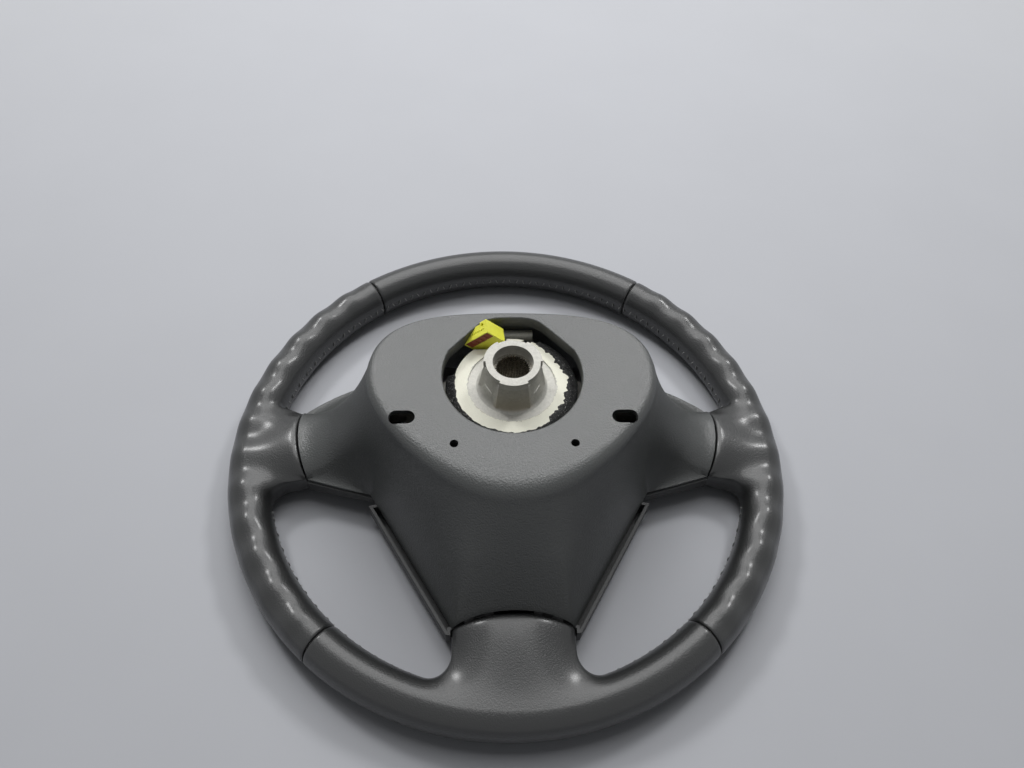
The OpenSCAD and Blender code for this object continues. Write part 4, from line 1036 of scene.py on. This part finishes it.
class WHEEL_OT_stitching(Operator):
    """Cross stitches along the inner seam of the rim"""

    bl_idname = "wheel.stitching"
    bl_label = "Stitching"

    def execute(self, context):
        sizes, cover = context.scene.wheel_rim, context.scene.wheel_cover
        a_top, a_low = side_edge(sizes.inner_r, np.zeros(1))[3:]
        a_foot = foot_edge(sizes.inner_r, cover.foot_w, np.zeros(1))[3]
        seam_a = 90 - sizes.top_seam
        low_a = -90 + sizes.bottom_seam
        # First and last angle of each run on the right, which the left mirrors
        runs = {"top": (seam_a + 0.8, 180 - seam_a - 0.8), "upper": (a_top + 0.5, seam_a - 0.8),
                "lower": (low_a + 0.8, a_low - 1), "foot": (a_foot + 1, low_a - 0.8)}
        for run, (a0, a1) in runs.items():
            count = round(math.radians(a1 - a0) * sizes.inner_r / sizes.stitch)
            angles = np.linspace(a0, a1, count)
            if run != "top":
                angles = np.concatenate([angles, 180 - angles])
            name = "stitches_" + run
            link(smooth(stitch_row(angles, sizes, name), 60), name, "thread", "leather", "wheel")
        return {"FINISHED"}


class WHEEL_OT_rear_cover(Operator):
    """Moulded rear cover with its opening, oval slots, screw holes and screw posts"""

    bl_idname = "wheel.rear_cover"
    bl_label = "Rear cover"

    # Radius and height of each corner of a screw post
    post = np.array([(1.3, 80), (4.5, 80), (4.5, 106), (2.5, 106), (2.5, 83), (1.3, 83)])

    def execute(self, context):
        sizes = context.scene.wheel_cover
        net = cover_net(sizes)
        rows = net.shape[1]
        mesh = mesh_from("cover_shell", net, grid_faces(*net.shape[:2], True, True))
        # From the lip on, the faces take the near-black painted shade
        for i, face in enumerate(mesh.polygons):
            face.material_index = int(PAINTED_SHADE_ROW <= i % rows < rows - 2)
        piece = link(mesh, "cover_shell", "cover", "cover_plastic", "wheel", ("rear_cover",))
        mesh.materials.append(finish_of("inside"))
        ring = direction(np.arange(0, 360, 15))
        tools = []
        for s in (-1, 1):
            tools.append(cutter(stadium(SLOT_AT * [s, 1], sizes.slot_l, sizes.slot_w)))
            tools.append(cutter(ring * sizes.hole_d / 2 + HOLE_AT * [s, 1]))
        cut(piece, tools)
        smooth(piece.data, 32)
        turns = direction(np.arange(0, 360, 12))[:, None, :]
        # The screw posts are near black as painted shade down the screw holes
        for side, s in (("left", -1), ("right", 1)):
            rings = at_height(turns * self.post[None, :, :1] + HOLE_AT * [s, 1], self.post[None, :, 1])
            skin("screw_post_" + side, rings, 40, "inside", "cover_plastic", "wheel",
                 ("rear_cover",), caps=False)
        return {"FINISHED"}


class WHEEL_OT_frame_pieces(Operator):
    """Casting, sleeve, plug, trims and small parts, with rounded edges and their finishes"""

    bl_idname = "wheel.frame_pieces"
    bl_label = "Casting, trims and small parts"

    # Finish, slot and body, and the bevel of each node in mm
    dressed = (
        ("cast", "cast_alloy", "wheel", {"hub_casting": 0.4, "hub_boss": 0.4}),
        ("bore", "steel", "wheel", {"spline_sleeve": 0}),
        ("trim", "trim_plastic", "wheel",
         {"spoke_trim_left": 0.6, "spoke_trim_right": 0.6, "lower_bezel": 0.5}),
        ("pad", "pad_plastic", "horn_pad", {"pad_cover": 0.6}),
        ("plug", "yellow_plastic", "wheel", {"harness_plug": 0.3}),
        ("lock", "lock_plastic", "wheel", {"terminal_lock": 0.2}),
        ("loom", "loom_sleeve", "wheel", {"harness_loom": 0}),
        # The screws take the near-black steel, painted shade in their holes
        ("shade_dark_steel", "steel", "wheel", {"cover_screws": 0.12, "trim_screws": 0.12}),
        ("wire", "bright_wire", "wheel", {"retaining_clips": 0}),
        ("bush", "bush_plastic", "wheel", {"pin_bushes": 0.2}),
        ("wire", "bright_wire", "horn_pad", {"latch_pins": 0.2}),
        ("brass", "brass_contact", "wheel", {"contact_posts": 0.2}),
        ("wire", "bright_wire", "wheel", {"horn_springs": 0}),
        ("zinc", "zinc_sheet", "horn_pad", {"inflator": 0.4, "module_tray": 0.3}))
    # Hidden nodes that keep their own mesh, and their finishes
    kept = {"rim_hoop": "steel", "rim_foam": "foam", "cushion_ring": "zinc", "tray_nuts": "steel"}

    def execute(self, context):
        pieces = {}
        for finish, slot, body, nodes in self.dressed:
            for node, bevel in nodes.items():
                pieces[node] = dress(node, finish, slot, body, bevel)
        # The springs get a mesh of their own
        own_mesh(pieces["horn_springs"])
        for node, finish in self.kept.items():
            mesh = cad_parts[node].data
            mesh.materials.clear()
            mesh.materials.append(finish_of(finish))
        return {"FINISHED"}


class WHEEL_OT_soft_pieces(Operator):
    """Foam that has crept over the flange, and the folded airbag cushion"""

    bl_idname = "wheel.soft_pieces"
    bl_label = "Foam ring and cushion"

    def execute(self, context):
        skin("foam_overspill", foam_ring(), 60, "foam", "foam", "wheel", ("hub_foam_ring",))
        piece = skin("folded_cushion", folded_cushion(), 70, "cushion", "cushion_fabric", "horn_pad",
                     ("airbag_cushion",))
        return {"FINISHED"}


def light_world(scene, strength):
    """Even light of that strength, which the camera and reflections see as a pale backdrop."""
    world = bpy.data.worlds.new("studio")
    world.use_nodes = True
    scene.world = world
    tree = Tree(world.node_tree)
    background = tree.tree.nodes["Background"]
    tree.feed(background.inputs["Color"], BACKDROP)
    level = strength + (BACKDROP_LEVEL - strength) * tree.seen_rays()
    tree.feed(background.inputs["Strength"], level)


class WHEEL_OT_stage(Operator):
    """Pale floor, soft lamps and the camera"""

    bl_idname = "wheel.stage"
    bl_label = "Stage"

    def execute(self, context):
        settings = context.scene.wheel_stage
        scene = context.scene
        scene.view_settings.view_transform = "Standard"
        h = FLOOR_HALF
        mesh = bpy.data.meshes.new("floor")
        mesh.from_pydata([(-h, -h, 0), (h, -h, 0), (h, h, 0), (-h, h, 0)], [], [(0, 1, 2, 3)])
        floor = add_object("floor", mesh)
        paint = Paint("floor_paint", Roughness=1, Specular_IOR_Level=0, Emission_Strength=1)
        cloud = paint.noise(0.01, 3.0)
        far = paint.seen_rays() * paint.radius().step(*FLOOR_FADE)
        near = paint.tones(cloud, settings.floor, 0.97, 1.02)
        paint.put("Base Color", paint.blend(far, near, (0, 0, 0)))
        paint.put("Emission Color", paint.blend(far, (0, 0, 0), tint(BACKDROP, BACKDROP_LEVEL)))
        mesh.materials.append(paint.material)
        light_world(scene, settings.fill)
        for index, (place, width, depth, share) in enumerate(LAMPS):
            light = bpy.data.lights.new(f"lamp_{index}", "AREA")
            light.shape = "RECTANGLE" if depth > width else "DISK"
            light.size = width
            light.size_y = depth
            light.energy = settings.key * share
            lamp = add_object(light.name, light)
            lamp.location = place
            aim = Vector(LAMP_AIM) - lamp.location
            lamp.rotation_euler = aim.to_track_quat("-Z", "Y").to_euler()
        camera = add_object("camera", bpy.data.cameras.new("camera"))
        camera.data.sensor_width = SENSOR_MM
        camera.data.lens = settings.focal_px * SENSOR_MM / PHOTO_PX
        camera.data.clip_end = 20
        camera.matrix_world = Matrix.Translation(CAMERA_AT) @ Matrix(CAMERA_TURN).to_4x4()
        scene.camera = camera
        return {"FINISHED"}


class WHEEL_PT_panel(Panel):
    """The wheel's pieces and their sizes"""

    bl_label = "Steering wheel"
    bl_idname = "WHEEL_PT_panel"
    bl_space_type = "VIEW_3D"
    bl_region_type = "UI"
    bl_category = "Wheel"

    def draw(self, context):
        for group in GROUPS:
            settings = getattr(context.scene, group)
            box = self.layout.box()
            for key in settings.bl_rna.properties.keys():
                if key not in ("name", "rna_type"):
                    box.prop(settings, key)
        for operator in OPERATORS:
            self.layout.operator(operator.bl_idname)


GROUPS = {"wheel_rim": RimSizes, "wheel_cover": CoverSizes, "wheel_colours": Colours,
          "wheel_stage": StageSettings}
OPERATORS = (WHEEL_OT_stage, WHEEL_OT_leather, WHEEL_OT_stitching, WHEEL_OT_rear_cover,
             WHEEL_OT_frame_pieces, WHEEL_OT_soft_pieces)


def register():
    """Registers the classes and puts the sizes on the scene."""
    for cls in (*GROUPS.values(), *OPERATORS, WHEEL_PT_panel):
        bpy.utils.register_class(cls)
    for name, group in GROUPS.items():
        setattr(bpy.types.Scene, name, PointerProperty(type=group))


def unregister():
    """Undoes what register does."""
    for name in GROUPS:
        delattr(bpy.types.Scene, name)
    for cls in (WHEEL_PT_panel, *reversed(OPERATORS), *reversed(GROUPS.values())):
        bpy.utils.unregister_class(cls)


def main():
    """Builds everything."""
    register()
    bpy.ops.wheel.stage()
    bpy.ops.wheel.leather()
    bpy.ops.wheel.stitching()
    bpy.ops.wheel.rear_cover()
    bpy.ops.wheel.frame_pieces()
    bpy.ops.wheel.soft_pieces()


if __name__ == "__main__":
    main()
